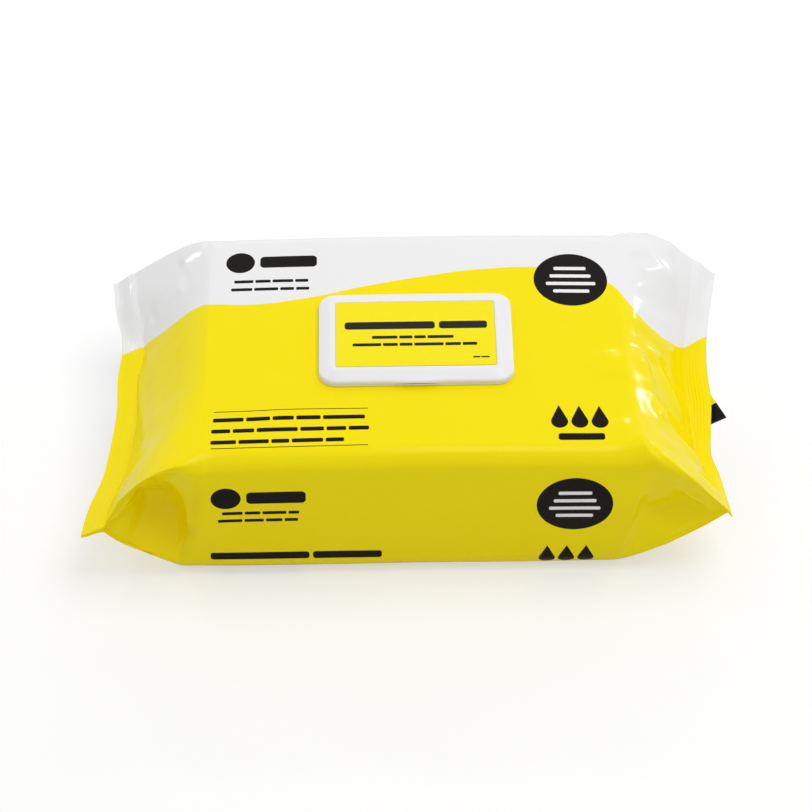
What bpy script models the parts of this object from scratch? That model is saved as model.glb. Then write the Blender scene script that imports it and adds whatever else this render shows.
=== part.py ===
"""A flow-wrapped pack of wet wipes with a hinged flip lid, in metres, +Z up.

The wrapper and the stack of wipes it hugs are one sealed solid, drawn as a loft of
closed loops along X. The lid is a moulded frame glued to the wrapper, a cover that
swings up on the frame's back edge, a label let into the cover, and a peel-off seal
over the place where the wipes come out. The front of the pack faces -Y.
"""

import math
from dataclasses import dataclass

import bmesh
import bpy
import numpy as np
from mathutils import Matrix, Vector

MM = 0.001

# Body of the pack: the stack of wipes with the film drawn over it
BODY_LENGTH = 214 * MM
BODY_FRONT = 81.5 * MM
BODY_BACK = 85 * MM
FRONT_HEIGHT = 85.5 * MM
BACK_HEIGHT = 87 * MM
CROWN = 1.5 * MM
FACE_BULGE = 1.0 * MM
TOP_EDGE_RADIUS = 10 * MM
BOTTOM_EDGE_RADIUS = 13 * MM

# How the film closes from the body to the seals: shares and powers of a share
RIDGE_SHARPNESS = 2.6
BLEND_POWER = 1.5
SWELL_SKEW = 0.75
SWELL_POWER = 0.8
TUCK_POWER = 0.9
MOST_ROUND = 0.45
SPLAY_KEPT = 0.4

# End seals: crimped fins that close the tube of film
SEAL_WIDTH = 12 * MM
SEAL_THICKNESS = 1.0 * MM
SEAL_EDGE_RADIUS = 0.3 * MM

# Long back seal folded flat on the underside, outlined by two grooves
BACK_SEAL_Y = -8 * MM
BACK_SEAL_WIDTH = 18 * MM
GROOVE_WIDTH = 1.6 * MM
GROOVE_DEPTH = 0.7 * MM

# The tail of the back seal that sticks out past the right end seal
TAIL_LENGTH = 26 * MM
TAIL_OVERHANG = 4.5 * MM
TAIL_SHIFT = 3.3 * MM
TAIL_THICKNESS = 0.8 * MM
TAIL_DROP = 6.5 * MM
TAIL_SLOPE = math.radians(9)
TAIL_TURN = math.radians(22)

# Lid frame, glued on the flat patch in the middle of the top
SEAT_DIP = 0.15 * MM
SEAT_HEIGHT = (FRONT_HEIGHT + BACK_HEIGHT) / 2 + CROWN - SEAT_DIP
SEAT_MARGIN = 4 * MM
SEAT_BLEND = 34 * MM
LID_LENGTH = 100 * MM
LID_DEPTH = 64 * MM
LID_Y = 0.4 * MM
LID_CORNER = 9 * MM
CLEARANCE = 0.3 * MM
FRAME_THICKNESS = 0.9 * MM
MOUTH_END_MARGIN = 18 * MM
MOUTH_LONG_MARGIN = 14 * MM
MOUTH_LENGTH = LID_LENGTH - 2 * MOUTH_END_MARGIN
MOUTH_DEPTH = LID_DEPTH - 2 * MOUTH_LONG_MARGIN
MOUTH_CORNER = 14 * MM
COLLAR_WALL = 1.5 * MM

# Hinge: matching lips on the frame's and the cover's back edges, bent along their rim
HINGE_LENGTH = 44 * MM
HINGE_LIP_DEPTH = 1.2 * MM
HINGE_LIP_THICKNESS = 0.6 * MM

# Cover: a shallow cap whose border slopes up to a flat rim round the label
COVER_HEIGHT = 4.5 * MM
COVER_WALL = 0.8 * MM
COVER_SLOPE_FOOT = 2.0 * MM
COVER_SLOPE_WIDTH = 5.9 * MM
COVER_EDGE_ROUNDING = 1.2 * MM
COVER_BORDER = 7.5 * MM
CORNER_SHRINK = 0.7
THUMB_LENGTH = 25 * MM
THUMB_DEPTH = 1.2 * MM
THUMB_REACH = 6 * MM

# Label let into the cover
LABEL_END_MARGIN = 1.5 * MM
LABEL_LONG_MARGIN = 1.1 * MM
LABEL_LENGTH = LID_LENGTH - 2 * (COVER_BORDER + LABEL_END_MARGIN)
LABEL_DEPTH = LID_DEPTH - 2 * (COVER_BORDER + LABEL_LONG_MARGIN)
LABEL_CORNER = 1.2 * MM
LABEL_THICKNESS = 0.25 * MM
LABEL_GAP = 0.25 * MM

# The collar stops short of the underside of the cover's top
COLLAR_GAP = 1.1 * MM
COVER_ROOM = COVER_HEIGHT - LABEL_THICKNESS - LABEL_GAP - COVER_WALL
COLLAR_HEIGHT = COVER_ROOM + CLEARANCE - COLLAR_GAP

# The seal inside the mouth, peeled off before first use by its pull tab
PULL_TAB_LENGTH = 12 * MM
PULL_TAB_REACH = 3 * MM
PULL_TAB_CORNER = 2.5 * MM
PULL_TAB_STEP = 0.05 * MM
PULL_TAB_ROOM = 1 * MM
PEEL_END_MARGIN = 3 * MM
PEEL_LENGTH = MOUTH_LENGTH - 2 * PEEL_END_MARGIN
PEEL_DEPTH = MOUTH_DEPTH - 2 * (PULL_TAB_REACH + PULL_TAB_ROOM)
PEEL_CORNER = 10 * MM

# Fineness: stations along the loft, and points round its loops and the lid's corners
BODY_STATIONS = 7
END_STATIONS = 14
STATION_POWER = 1.1
SEAL_STATIONS = (1.0, 0.96, 0.5, 0.04)
FLAT_POINTS = 14
CORNER_POINTS = 5
SIDE_POINTS = 12
ROUND_POINTS = 8
EDGE_STEPS = 4
THUMB_SEGMENTS = 180
CREASE_ANGLE = math.radians(35)

COLLECTION = "wet_wipes_pack"
CUTTERS = "cutters"


@dataclass(frozen=True)
class End:
    """One end of the pack, seen from its middle.

    The rows of three, and the five places of the cut edge, read from the front of the
    pack to its back. The cut edge's places are shares of the way to its front or back
    tip, with its reach past the body at each. Rises are heights over the middle of the
    back, and skews carry the front corner ridge outwards at its foot and at its top.
    """

    side: int
    ear_front: float
    ear_back: float
    edge_shares: tuple
    edge_reaches: tuple
    edge_rises: tuple
    crimp_rises: tuple
    seal_widths: tuple
    seal_thicknesses: tuple
    top_powers: tuple
    bottom_powers: tuple
    low_skew: float
    high_skew: float
    tuck_front: float
    tuck_back: float
    crease_front: float

    @property
    def tip_front(self):
        """Y of the seal's front tip."""
        return -BODY_FRONT - self.ear_front

    @property
    def tip_back(self):
        """Y of the seal's back tip."""
        return BODY_BACK + self.ear_back


LEFT = End(
    side=-1,
    ear_front=4.5 * MM,
    ear_back=1 * MM,
    edge_shares=(-1, -0.605, -0.174, 0.442, 1),
    edge_reaches=(64 * MM, 55.5 * MM, 50.8 * MM, 48 * MM, 55.2 * MM),
    edge_rises=(-6 * MM, -1.5 * MM, 6 * MM),
    crimp_rises=(-1.5 * MM, 1.5 * MM, 13.5 * MM),
    seal_widths=(SEAL_WIDTH, SEAL_WIDTH, SEAL_WIDTH),
    seal_thicknesses=(4.5 * MM, SEAL_THICKNESS, 1.2 * MM),
    top_powers=(2.8, 1.45, 1.15),
    bottom_powers=(1.0, 2.0, 1.8),
    low_skew=16 * MM,
    high_skew=1 * MM,
    tuck_front=15 * MM,
    tuck_back=13 * MM,
    crease_front=-0.3,
)

RIGHT = End(
    side=1,
    ear_front=1 * MM,
    ear_back=1 * MM,
    edge_shares=(-1, -0.521, 0.14, 0.407, 1),
    edge_reaches=(52.6 * MM, 46.4 * MM, 47 * MM, 48.8 * MM, 57.6 * MM),
    edge_rises=(-1.7 * MM, 4.5 * MM, 8 * MM),
    crimp_rises=(2 * MM, 0, 17.5 * MM),
    seal_widths=(3 * MM, SEAL_WIDTH, SEAL_WIDTH),
    seal_thicknesses=(3.2 * MM, SEAL_THICKNESS, 1.2 * MM),
    top_powers=(1.4, 1.3, 1.9),
    bottom_powers=(1.15, 1.8, 1.8),
    low_skew=-6 * MM,
    high_skew=6 * MM,
    tuck_front=5 * MM,
    tuck_back=12 * MM,
    crease_front=-0.1,
)

# Where the middle of the body stands, so that the whole object's box is centred
CENTRE_X = (LEFT.edge_reaches[0] - RIGHT.edge_reaches[-1]) / 2
CENTRE_Y = -(LEFT.tip_back + LEFT.tip_front) / 2


def smooth(t):
    """Ease a share from 0 to 1 with no slope at either end."""
    t = min(max(t, 0.0), 1.0)
    return t * t * (3 - 2 * t)


def cut_edge(end, y):
    """Distance from the pack's middle to the cut edge of the seal, by a cubic spline."""
    ys = [share * (end.tip_back if share > 0 else -end.tip_front) for share in end.edge_shares]
    xs = [BODY_LENGTH / 2 + reach for reach in end.edge_reaches]
    y = min(max(y, ys[0]), ys[-1])
    i = min(max(int(np.searchsorted(ys, y)) - 1, 0), len(ys) - 2)
    slopes = np.gradient(np.array(xs), np.array(ys))
    gap = ys[i + 1] - ys[i]
    t = (y - ys[i]) / gap
    return (
        (2 * t**3 - 3 * t**2 + 1) * xs[i]
        + (t**3 - 2 * t**2 + t) * gap * slopes[i]
        + (3 * t**2 - 2 * t**3) * xs[i + 1]
        + (t**3 - t**2) * gap * slopes[i + 1]
    )


def top_height(x, y):
    """Height of the top film over the stack, flat where the lid frame is glued."""
    share = (y + BODY_FRONT) / (BODY_FRONT + BODY_BACK)
    free = FRONT_HEIGHT + (BACK_HEIGHT - FRONT_HEIGHT) * share
    free += CROWN * (1 - min(abs(2 * x / BODY_LENGTH), 1) ** 2)
    outside = max(
        abs(x) - LID_LENGTH / 2 - SEAT_MARGIN,
        abs(y - LID_Y) - LID_DEPTH / 2 - SEAT_MARGIN,
        0.0,
    )
    return free + (SEAT_HEIGHT - free) * (1 - smooth(outside / SEAT_BLEND))


def groove_height(y):
    """Depth of the two grooves that outline the folded back seal."""
    nearest = abs(abs(y - BACK_SEAL_Y) - BACK_SEAL_WIDTH / 2)
    return GROOVE_DEPTH * smooth(1 - 2 * nearest / GROOVE_WIDTH)


def bottom_places():
    """Places across the underside, as shares of its width, with the grooves' edges."""
    shares = list(np.linspace(-1, 1, FLAT_POINTS))
    half = (BODY_FRONT + BODY_BACK) / 2 - BOTTOM_EDGE_RADIUS
    middle = (BODY_BACK - BODY_FRONT) / 2
    width = GROOVE_WIDTH / half
    for side in (-1, 1):
        groove = (BACK_SEAL_Y + side * BACK_SEAL_WIDTH / 2 - middle) / half
        shares = [share for share in shares if abs(share - groove) > width]
        shares += [groove - width / 2, groove, groove + width / 2]
    return sorted(shares)


BOTTOM_PLACES = bottom_places()


class Section:
    """One closed loop of points round the wrapper.

    sigma runs from the middle of the body (-1) by its end (0) to the inner line of the
    seal (1), and beyond runs over the seal itself, from 0 to 1 at the cut edge.
    """

    def __init__(self, end, sigma, beyond):
        self.end = end
        self.sigma = sigma
        self.beyond = beyond
        self.over = max(sigma, 0.0)
        share = smooth(self.over)
        self.y_front = -BODY_FRONT + (end.tip_front + BODY_FRONT) * share
        self.y_back = BODY_BACK + (end.tip_back - BODY_BACK) * share
        still_round = (1 - self.over) ** RIDGE_SHARPNESS
        self.top_radius = SEAL_EDGE_RADIUS + (TOP_EDGE_RADIUS - SEAL_EDGE_RADIUS) * still_round
        self.low_radius = SEAL_EDGE_RADIUS + (BOTTOM_EDGE_RADIUS - SEAL_EDGE_RADIUS) * still_round
        self.swell = math.sin(math.pi * self.over**SWELL_SKEW) ** SWELL_POWER if self.over < 1 else 0.0
        self.points = []

    def across(self, values, y):
        """Blend a front, middle and back value at the place y across the end."""
        front, middle, back = values
        tip, tip_value = (self.end.tip_front, front) if y < 0 else (self.end.tip_back, back)
        return middle + (tip_value - middle) * smooth(y / tip) ** BLEND_POWER

    def place(self, y, height):
        """X, and the film's top and bottom height, at y on a side height from -1 to 1."""
        end = self.end
        start = BODY_LENGTH / 2
        if y < 0:
            skew = (end.low_skew * (1 - height) + end.high_skew * (1 + height)) / 2
            start += skew * smooth(-y / BODY_FRONT) ** 2
        width = self.across(end.seal_widths, y)
        crimp = cut_edge(end, y) - width
        if self.sigma <= 0:
            x = start * (1 + self.sigma)
        else:
            x = start + (crimp - start) * self.sigma + width * self.beyond
        crimp_rise = self.across(end.crimp_rises, y)
        edge_rise = self.across(end.edge_rises, y)
        middle = BACK_HEIGHT / 2 + crimp_rise + (edge_rise - crimp_rise) * smooth(self.beyond)
        half = self.across(end.seal_thicknesses, y) / 2
        half += (SEAL_THICKNESS / 2 - half) * self.beyond * (1 - SPLAY_KEPT)
        stack_top = top_height(min(x, BODY_LENGTH / 2), y)
        fall = self.over ** self.across(end.top_powers, y)
        rise = self.over ** self.across(end.bottom_powers, y)
        top = stack_top + (middle + half - stack_top) * fall
        bottom = (middle - half) * rise + groove_height(y) * (1 - self.over)
        return x, top, bottom

    def add(self, x, y, z):
        """Keep one point, on this end's side of the pack."""
        self.points.append((self.end.side * x, y, z))

    def add_round_edge(self, y_edge, inward, upper, angles):
        """The rounded long edge between a side face and the top or underside."""
        x, top, bottom = self.place(y_edge, 1 if upper else -1)
        radius = min(self.top_radius if upper else self.low_radius, (top - bottom) * MOST_ROUND)
        for angle in angles:
            y = y_edge + inward * radius * (1 - math.cos(angle))
            drop = radius * (1 - math.sin(angle))
            self.add(x, y, top - drop if upper else bottom + drop)

    def add_side(self, y_edge, inward, depth, crease, heights):
        """The front or back face between its round edges, tucked in at the gusset."""
        for height in heights:
            x, top, bottom = self.place(y_edge, height)
            high = top - min(self.top_radius, (top - bottom) * MOST_ROUND)
            low = bottom + min(self.low_radius, (top - bottom) * MOST_ROUND)
            reach = 1 - crease if height > crease else 1 + crease
            tuck = (1 - abs(height - crease) / reach) ** TUCK_POWER
            bulge = FACE_BULGE * (1 - self.over) * (1 - height * height)
            y = y_edge + inward * (depth * self.swell * tuck - bulge)
            self.add(x, y, low + (high - low) * (height + 1) / 2)

    def loop(self):
        """All points, round by the underside, the front, the top and the back."""
        end = self.end
        angles = np.linspace(0, math.pi / 2, CORNER_POINTS)[1:-1]
        heights = np.linspace(-1, 1, SIDE_POINTS)
        middle = (self.y_front + self.y_back) / 2
        half = (self.y_back - self.y_front) / 2
        for share in BOTTOM_PLACES[::-1]:
            y = middle + (half - self.low_radius) * share
            x, _, bottom = self.place(y, -1)
            self.add(x, y, bottom)
        self.add_round_edge(self.y_front, 1, False, angles[::-1])
        self.add_side(self.y_front, 1, end.tuck_front, end.crease_front, heights)
        self.add_round_edge(self.y_front, 1, True, angles)
        for share in np.linspace(-1, 1, FLAT_POINTS):
            y = middle + (half - self.top_radius) * share
            x, top, _ = self.place(y, 1)
            self.add(x, y, top)
        self.add_round_edge(self.y_back, -1, True, angles[::-1])
        self.add_side(self.y_back, -1, end.tuck_back, 0.0, heights[::-1])
        self.add_round_edge(self.y_back, -1, False, angles)
        return self.points


def wrapper_loops():
    """All loops of the wrapper, from the left cut edge to the right one."""
    end_steps = np.linspace(1, 0, END_STATIONS) ** STATION_POWER
    body_steps = np.linspace(0, -1, BODY_STATIONS)[1:]
    halves = []
    for end in (LEFT, RIGHT):
        stations = [(1.0, beyond) for beyond in SEAL_STATIONS]
        stations += [(sigma, 0.0) for sigma in (*end_steps, *body_steps)]
        halves.append([Section(end, sigma, beyond).loop() for sigma, beyond in stations])
    return halves[0] + halves[1][::-1][1:]


def new_object(name, mesh):
    """Link a mesh into the object's collection under the given name."""
    obj = bpy.data.objects.new(name, mesh)
    bpy.data.collections[COLLECTION].objects.link(obj)
    return obj


def mesh_from(name, bm):
    """Finish a bmesh: outward normals, and a mesh that holds it."""
    bmesh.ops.recalc_face_normals(bm, faces=bm.faces)
    mesh = bpy.data.meshes.new(name)
    bm.to_mesh(mesh)
    bm.free()
    return mesh


def loft(name, loops):
    """Join closed loops of as many points each into one solid with capped ends."""
    bm = bmesh.new()
    rows = [[bm.verts.new(Vector(p)) for p in points] for points in loops]
    count = len(rows[0])
    for a, b in zip(rows, rows[1:]):
        for i in range(count):
            j = (i + 1) % count
            bm.faces.new((a[i], a[j], b[j], b[i]))
    bm.faces.new(rows[0])
    bm.faces.new(rows[-1][::-1])
    return mesh_from(name, bm)


def rounded_rectangle(length, depth, radius, z, y=0.0):
    """Points of a rounded rectangle at height z, anticlockwise seen from above."""
    points = []
    for sx, sy, start in ((1, 1, 0), (-1, 1, 90), (-1, -1, 180), (1, -1, 270)):
        for step in range(ROUND_POINTS + 1):
            angle = math.radians(start + 90 * step / ROUND_POINTS)
            px = sx * (length / 2 - radius) + radius * math.cos(angle)
            py = sy * (depth / 2 - radius) + radius * math.sin(angle)
            points.append((px, py + y, z))
    return points


def plate(name, size, low, high, y=0.0):
    """A flat plate with rounded corners; size is its length, depth and corner radius."""
    return loft(name, [rounded_rectangle(*size, low, y), rounded_rectangle(*size, high, y)])


def block(name, size, middle):
    """A box of the given size round its middle."""
    bm = bmesh.new()
    bmesh.ops.create_cube(bm, size=1.0)
    bmesh.ops.scale(bm, vec=size, verts=bm.verts)
    bmesh.ops.translate(bm, vec=middle, verts=bm.verts)
    return mesh_from(name, bm)


def material(name, colour, roughness, metallic=0.0):
    """A Principled BSDF material with one colour."""
    mat = bpy.data.materials.new(name)
    mat.use_nodes = True
    shader = mat.node_tree.nodes["Principled BSDF"]
    shader.inputs["Base Color"].default_value = (*colour, 1.0)
    shader.inputs["Roughness"].default_value = roughness
    shader.inputs["Metallic"].default_value = metallic
    return mat


def boolean(obj, other, operation):
    """Cut or join another object, which is left as a hidden wire guide."""
    modifier = obj.modifiers.new(other.name, "BOOLEAN")
    modifier.operation = operation
    modifier.solver = "EXACT"
    modifier.object = other
    other.hide_render = True
    other.display_type = "WIRE"


def shade(obj):
    """Smooth shading with the real creases kept sharp."""
    obj.data.shade_smooth()
    obj.data.set_sharp_from_angle(angle=CREASE_ANGLE)


def cutter(name, mesh):
    """A guide object for a Boolean, kept in its own collection."""
    obj = bpy.data.objects.new(name, mesh)
    bpy.data.collections[CUTTERS].objects.link(obj)
    return obj


def seal_tail():
    """The end of the back seal, a thin strip of film poking out past the end seal."""
    size = (TAIL_LENGTH, BACK_SEAL_WIDTH, TAIL_THICKNESS)
    guide = cutter("seal_tail", block("seal_tail", size, (-TAIL_LENGTH / 2, 0, 0)))
    tip_y = BACK_SEAL_Y + TAIL_SHIFT
    height = BACK_HEIGHT / 2 + RIGHT.edge_rises[1] - TAIL_DROP
    guide.location = (cut_edge(RIGHT, tip_y) + TAIL_OVERHANG, tip_y, height)
    guide.rotation_euler = (0, -TAIL_SLOPE, TAIL_TURN)
    return guide


def film_pack():
    """The sealed wrapper with the stack inside it, as one solid."""
    obj = new_object("film_pack", loft("film_pack", wrapper_loops()))
    obj.location = (CENTRE_X, CENTRE_Y, 0)
    tail = seal_tail()
    tail.parent = obj
    boolean(obj, tail, "UNION")
    obj.data.materials.append(material("yellow_film", (1.0, 0.84, 0.0), 0.25))
    shade(obj)
    return obj


def hinge_lip(name, edge_y, low, high):
    """A strip along the hinge that reaches from inside a back edge to the hinge line."""
    depth = HINGE_LIP_DEPTH + COVER_WALL / 2
    middle = (0, edge_y + (HINGE_LIP_DEPTH - COVER_WALL / 2) / 2, (low + high) / 2)
    return cutter(name, block(name, (HINGE_LENGTH, depth, high - low), middle))


def lid_frame():
    """The glued frame with the mouth the wipes come out of, and its raised collar."""
    low = SEAT_HEIGHT + CLEARANCE
    high = low + FRAME_THICKNESS
    outline = (LID_LENGTH, LID_DEPTH, LID_CORNER)
    obj = new_object("lid_frame", plate("lid_frame", outline, low, high))
    obj.location = (CENTRE_X, CENTRE_Y + LID_Y, 0)
    mouth = (MOUTH_LENGTH, MOUTH_DEPTH, MOUTH_CORNER)
    wall = (2 * COLLAR_WALL, 2 * COLLAR_WALL, COLLAR_WALL)
    collar = [share + extra for share, extra in zip(mouth, wall)]
    ring = cutter("collar", plate("collar", collar, low + FRAME_THICKNESS / 2, high + COLLAR_HEIGHT))
    lip = hinge_lip("frame_lip", LID_DEPTH / 2, high - HINGE_LIP_THICKNESS, high)
    hole = cutter("mouth", plate("mouth", mouth, low - CLEARANCE, high + 2 * COLLAR_HEIGHT))
    for guide, operation in ((ring, "UNION"), (lip, "UNION"), (hole, "DIFFERENCE")):
        guide.parent = obj
        boolean(obj, guide, operation)
    obj.data.materials.append(material("white_plastic", (0.85, 0.85, 0.86), 0.35))
    shade(obj)
    return obj


def cover_profile():
    """Insets and heights from the underside of the top, round the rim, up the slope."""
    rise = COVER_HEIGHT - COVER_SLOPE_FOOT
    slope = rise / COVER_SLOPE_WIDTH
    sink = COVER_WALL * math.hypot(1, slope)
    inner_foot = COVER_SLOPE_FOOT + slope * COVER_WALL - sink
    inner_inset = (COVER_ROOM - COVER_SLOPE_FOOT + sink) / slope
    profile = [(inner_inset, COVER_ROOM), (COVER_WALL, inner_foot), (COVER_WALL, 0), (0, 0)]
    share = COVER_EDGE_ROUNDING / math.hypot(rise, COVER_SLOPE_WIDTH)
    for step in range(EDGE_STEPS + 1):
        t = step / EDGE_STEPS
        height = COVER_SLOPE_FOOT - COVER_EDGE_ROUNDING * (1 - t) ** 2 + share * rise * t * t
        profile.append((share * COVER_SLOPE_WIDTH * t * t, height))
    return profile + [(COVER_SLOPE_WIDTH, COVER_HEIGHT), (COVER_BORDER, COVER_HEIGHT)]


def cover_rings(hinge_y, rim_z):
    """Loops of the cover from the underside of its top, round the rim, to the recess."""
    rings = []

    def ring(inset, height):
        """A loop of the outline moved in by the inset."""
        corner = max(LID_CORNER - inset * CORNER_SHRINK, LABEL_CORNER)
        size = (LID_LENGTH - 2 * inset, LID_DEPTH - 2 * inset, corner)
        rings.append(rounded_rectangle(*size, rim_z + height, -hinge_y))

    for inset, height in cover_profile():
        ring(inset, height)
    label = (LABEL_LENGTH + 2 * LABEL_GAP, LABEL_DEPTH + 2 * LABEL_GAP, LABEL_CORNER + LABEL_GAP)
    for depth in (0, LABEL_THICKNESS + LABEL_GAP):
        rings.append(rounded_rectangle(*label, rim_z + COVER_HEIGHT - depth, -hinge_y))
    return rings


def thumb_notch(hinge_y, rim_z):
    """A shallow arch under the cover's front rim, cut by a wide cylinder along Y."""
    half = THUMB_LENGTH / 2
    radius = (half * half + THUMB_DEPTH * THUMB_DEPTH) / (2 * THUMB_DEPTH)
    bm = bmesh.new()
    bmesh.ops.create_cone(
        bm, cap_ends=True, segments=THUMB_SEGMENTS, radius1=radius, radius2=radius, depth=2 * THUMB_REACH
    )
    bmesh.ops.rotate(bm, matrix=Matrix.Rotation(math.pi / 2, 3, "X"), verts=bm.verts)
    middle = (0, -hinge_y - LID_DEPTH / 2, rim_z + THUMB_DEPTH - radius)
    bmesh.ops.translate(bm, vec=middle, verts=bm.verts)
    return cutter("thumb_notch", mesh_from("thumb_notch", bm))


def lid_cover(hinge):
    """The cap, modelled round the hinge so that its origin is on the axis."""
    hinge_y = LID_DEPTH / 2 + HINGE_LIP_DEPTH
    rim_z = CLEARANCE / 2
    obj = new_object("lid_cover", loft("lid_cover", cover_rings(hinge_y, rim_z)))
    obj.parent = hinge
    lip = hinge_lip("cover_lip", -HINGE_LIP_DEPTH, rim_z, rim_z + HINGE_LIP_THICKNESS)
    for guide, operation in ((lip, "UNION"), (thumb_notch(hinge_y, rim_z), "DIFFERENCE")):
        guide.parent = hinge
        boolean(obj, guide, operation)
    obj.data.materials.append(bpy.data.materials["white_plastic"])
    shade(obj)
    return obj


def lid_label(hinge):
    """The printed label in the cover's recess."""
    high = CLEARANCE / 2 + COVER_HEIGHT
    middle = -LID_DEPTH / 2 - HINGE_LIP_DEPTH
    size = (LABEL_LENGTH, LABEL_DEPTH, LABEL_CORNER)
    obj = new_object("lid_label", plate("lid_label", size, high - LABEL_THICKNESS, high, middle))
    obj.parent = hinge
    obj.data.materials.append(material("label_yellow", (0.95, 0.84, 0.0), 0.4))
    return obj


def peel_seal():
    """The sticker that closes the mouth until first use, with its pull tab."""
    low = SEAT_HEIGHT + CLEARANCE
    high = low + LABEL_THICKNESS
    size = (PEEL_LENGTH, PEEL_DEPTH, PEEL_CORNER)
    obj = new_object("peel_seal", plate("peel_seal", size, low, high))
    obj.location = (CENTRE_X, CENTRE_Y + LID_Y, 0)
    tab_size = (PULL_TAB_LENGTH, 2 * PULL_TAB_REACH, PULL_TAB_CORNER)
    mesh = plate("pull_tab", tab_size, low + PULL_TAB_STEP, high - PULL_TAB_STEP, -PEEL_DEPTH / 2)
    tab = cutter("pull_tab", mesh)
    tab.parent = obj
    boolean(obj, tab, "UNION")
    obj.data.materials.append(material("seal_film", (0.8, 0.8, 0.82), 0.3))
    return obj


def hinge_empty():
    """The empty that stands on the hinge axis, where the two lips meet."""
    empty = bpy.data.objects.new("lid_hinge", None)
    bpy.data.collections[COLLECTION].objects.link(empty)
    height = SEAT_HEIGHT + CLEARANCE + FRAME_THICKNESS + CLEARANCE / 2
    empty.location = (CENTRE_X, CENTRE_Y + LID_Y + LID_DEPTH / 2 + HINGE_LIP_DEPTH, height)
    return empty


def main():
    """Clear the scene and build the pack."""
    for obj in list(bpy.data.objects):
        bpy.data.objects.remove(obj, do_unlink=True)
    for name in (COLLECTION, CUTTERS):
        bpy.context.scene.collection.children.link(bpy.data.collections.new(name))
    film_pack()
    lid_frame()
    peel_seal()
    hinge = hinge_empty()
    lid_cover(hinge)
    lid_label(hinge)


main()
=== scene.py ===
"""Looks of a flow-wrapped pack of wet wipes: glossy printed film and a white flip lid.

The film wrapper is drawn again as a much finer loft of the same form, with its seals
crimped and its end panels pulled into soft folds. The lid's frame, cover and hinge are
drawn again with their roundings, and every surface gets a finish built from nodes.
"""

import logging
import math
import random
from collections.abc import Callable
from dataclasses import dataclass, field
from enum import Enum

import bmesh
import bpy
import numpy as np
from mathutils import Matrix, Vector


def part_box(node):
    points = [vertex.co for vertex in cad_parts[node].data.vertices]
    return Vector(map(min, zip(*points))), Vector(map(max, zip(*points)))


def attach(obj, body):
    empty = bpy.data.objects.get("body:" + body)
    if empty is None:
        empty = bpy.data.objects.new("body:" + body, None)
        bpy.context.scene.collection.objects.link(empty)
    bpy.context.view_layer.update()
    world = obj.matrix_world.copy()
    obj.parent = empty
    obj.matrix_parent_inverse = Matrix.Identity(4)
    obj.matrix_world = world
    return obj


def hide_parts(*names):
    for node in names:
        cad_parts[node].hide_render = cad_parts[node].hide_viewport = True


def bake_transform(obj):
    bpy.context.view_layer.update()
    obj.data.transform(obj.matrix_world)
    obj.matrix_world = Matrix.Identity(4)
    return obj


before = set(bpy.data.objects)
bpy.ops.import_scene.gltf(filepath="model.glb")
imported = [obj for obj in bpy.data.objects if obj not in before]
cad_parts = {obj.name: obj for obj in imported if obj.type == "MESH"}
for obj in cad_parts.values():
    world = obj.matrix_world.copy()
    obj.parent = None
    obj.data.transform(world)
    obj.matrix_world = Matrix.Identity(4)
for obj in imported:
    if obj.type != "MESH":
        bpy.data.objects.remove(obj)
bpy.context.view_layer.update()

log = logging.getLogger("wipes_pack")

Socket = bpy.types.NodeSocket
Material = bpy.types.Material
Piece = bpy.types.Object

MM = 0.001
PACK_BODY = "pack"
LID_BODY = "lid"
FILM_MAP = "film"
CREST_TIP = 0.3
ALL_BUT_WHOLE = 0.999
SHARP_ANGLE = math.radians(40)


def smooth(share: np.ndarray) -> np.ndarray:
    """Ease a share from 0 to 1 with no slope at either end."""
    share = np.clip(share, 0.0, 1.0)
    return share * share * (3 - 2 * share)


def crest(distance: np.ndarray, width: float) -> np.ndarray:
    """Height of a crease with hollow flanks, 1 on its line and slightly rounded there."""
    tip = CREST_TIP * width
    return np.exp(-(np.hypot(distance, tip) - tip) / width)


def rounded_rectangle(
    half_x: float, half_y: float, corner: float, corner_points: int, edge_points: int
) -> np.ndarray:
    """Points of a rounded rectangle in plan, anticlockwise seen from above.

    Args:
        half_x: Half its length along X.
        half_y: Half its depth along Y.
        corner: Corner radius.
        corner_points: Steps round each corner.
        edge_points: Steps along each straight edge.

    Returns:
        An array of X and Y, with as many rows whatever the sizes are.
    """
    arcs = []
    for k, (sx, sy) in enumerate(((1, 1), (-1, 1), (-1, -1), (1, -1))):
        centre = np.array([sx * (half_x - corner), sy * (half_y - corner)])
        angles = np.linspace(k, k + 1, corner_points + 1) * math.pi / 2
        arcs.append(centre + corner * np.stack([np.cos(angles), np.sin(angles)], 1))
    steps = np.linspace(0, 1, edge_points + 1)[1:-1, None]
    points = []
    for arc, after in zip(arcs, arcs[1:] + arcs[:1]):
        points += [arc, arc[-1] + (after[0] - arc[-1]) * steps]
    return np.vstack(points)


def rounded_path(corners: tuple, reaches: tuple, steps: int) -> list[np.ndarray]:
    """Points of a bent line with its inner corners rounded.

    Args:
        corners: The line's two ends and the corners between them.
        reaches: How far from each inner corner its rounding starts.
        steps: Steps round each corner.

    Returns:
        Places along the line, in order.
    """
    knots = [np.array(corner, dtype=float) for corner in corners]
    path = [knots[0]]
    for before, corner, after, reach in zip(knots, knots[1:], knots[2:], reaches):
        first = corner + (before - corner) * reach / np.linalg.norm(before - corner)
        last = corner + (after - corner) * reach / np.linalg.norm(after - corner)
        for t in np.linspace(0, 1, steps + 1):
            path.append((1 - t) ** 2 * first + 2 * t * (1 - t) * corner + t**2 * last)
    return path + [knots[-1]]


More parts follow.
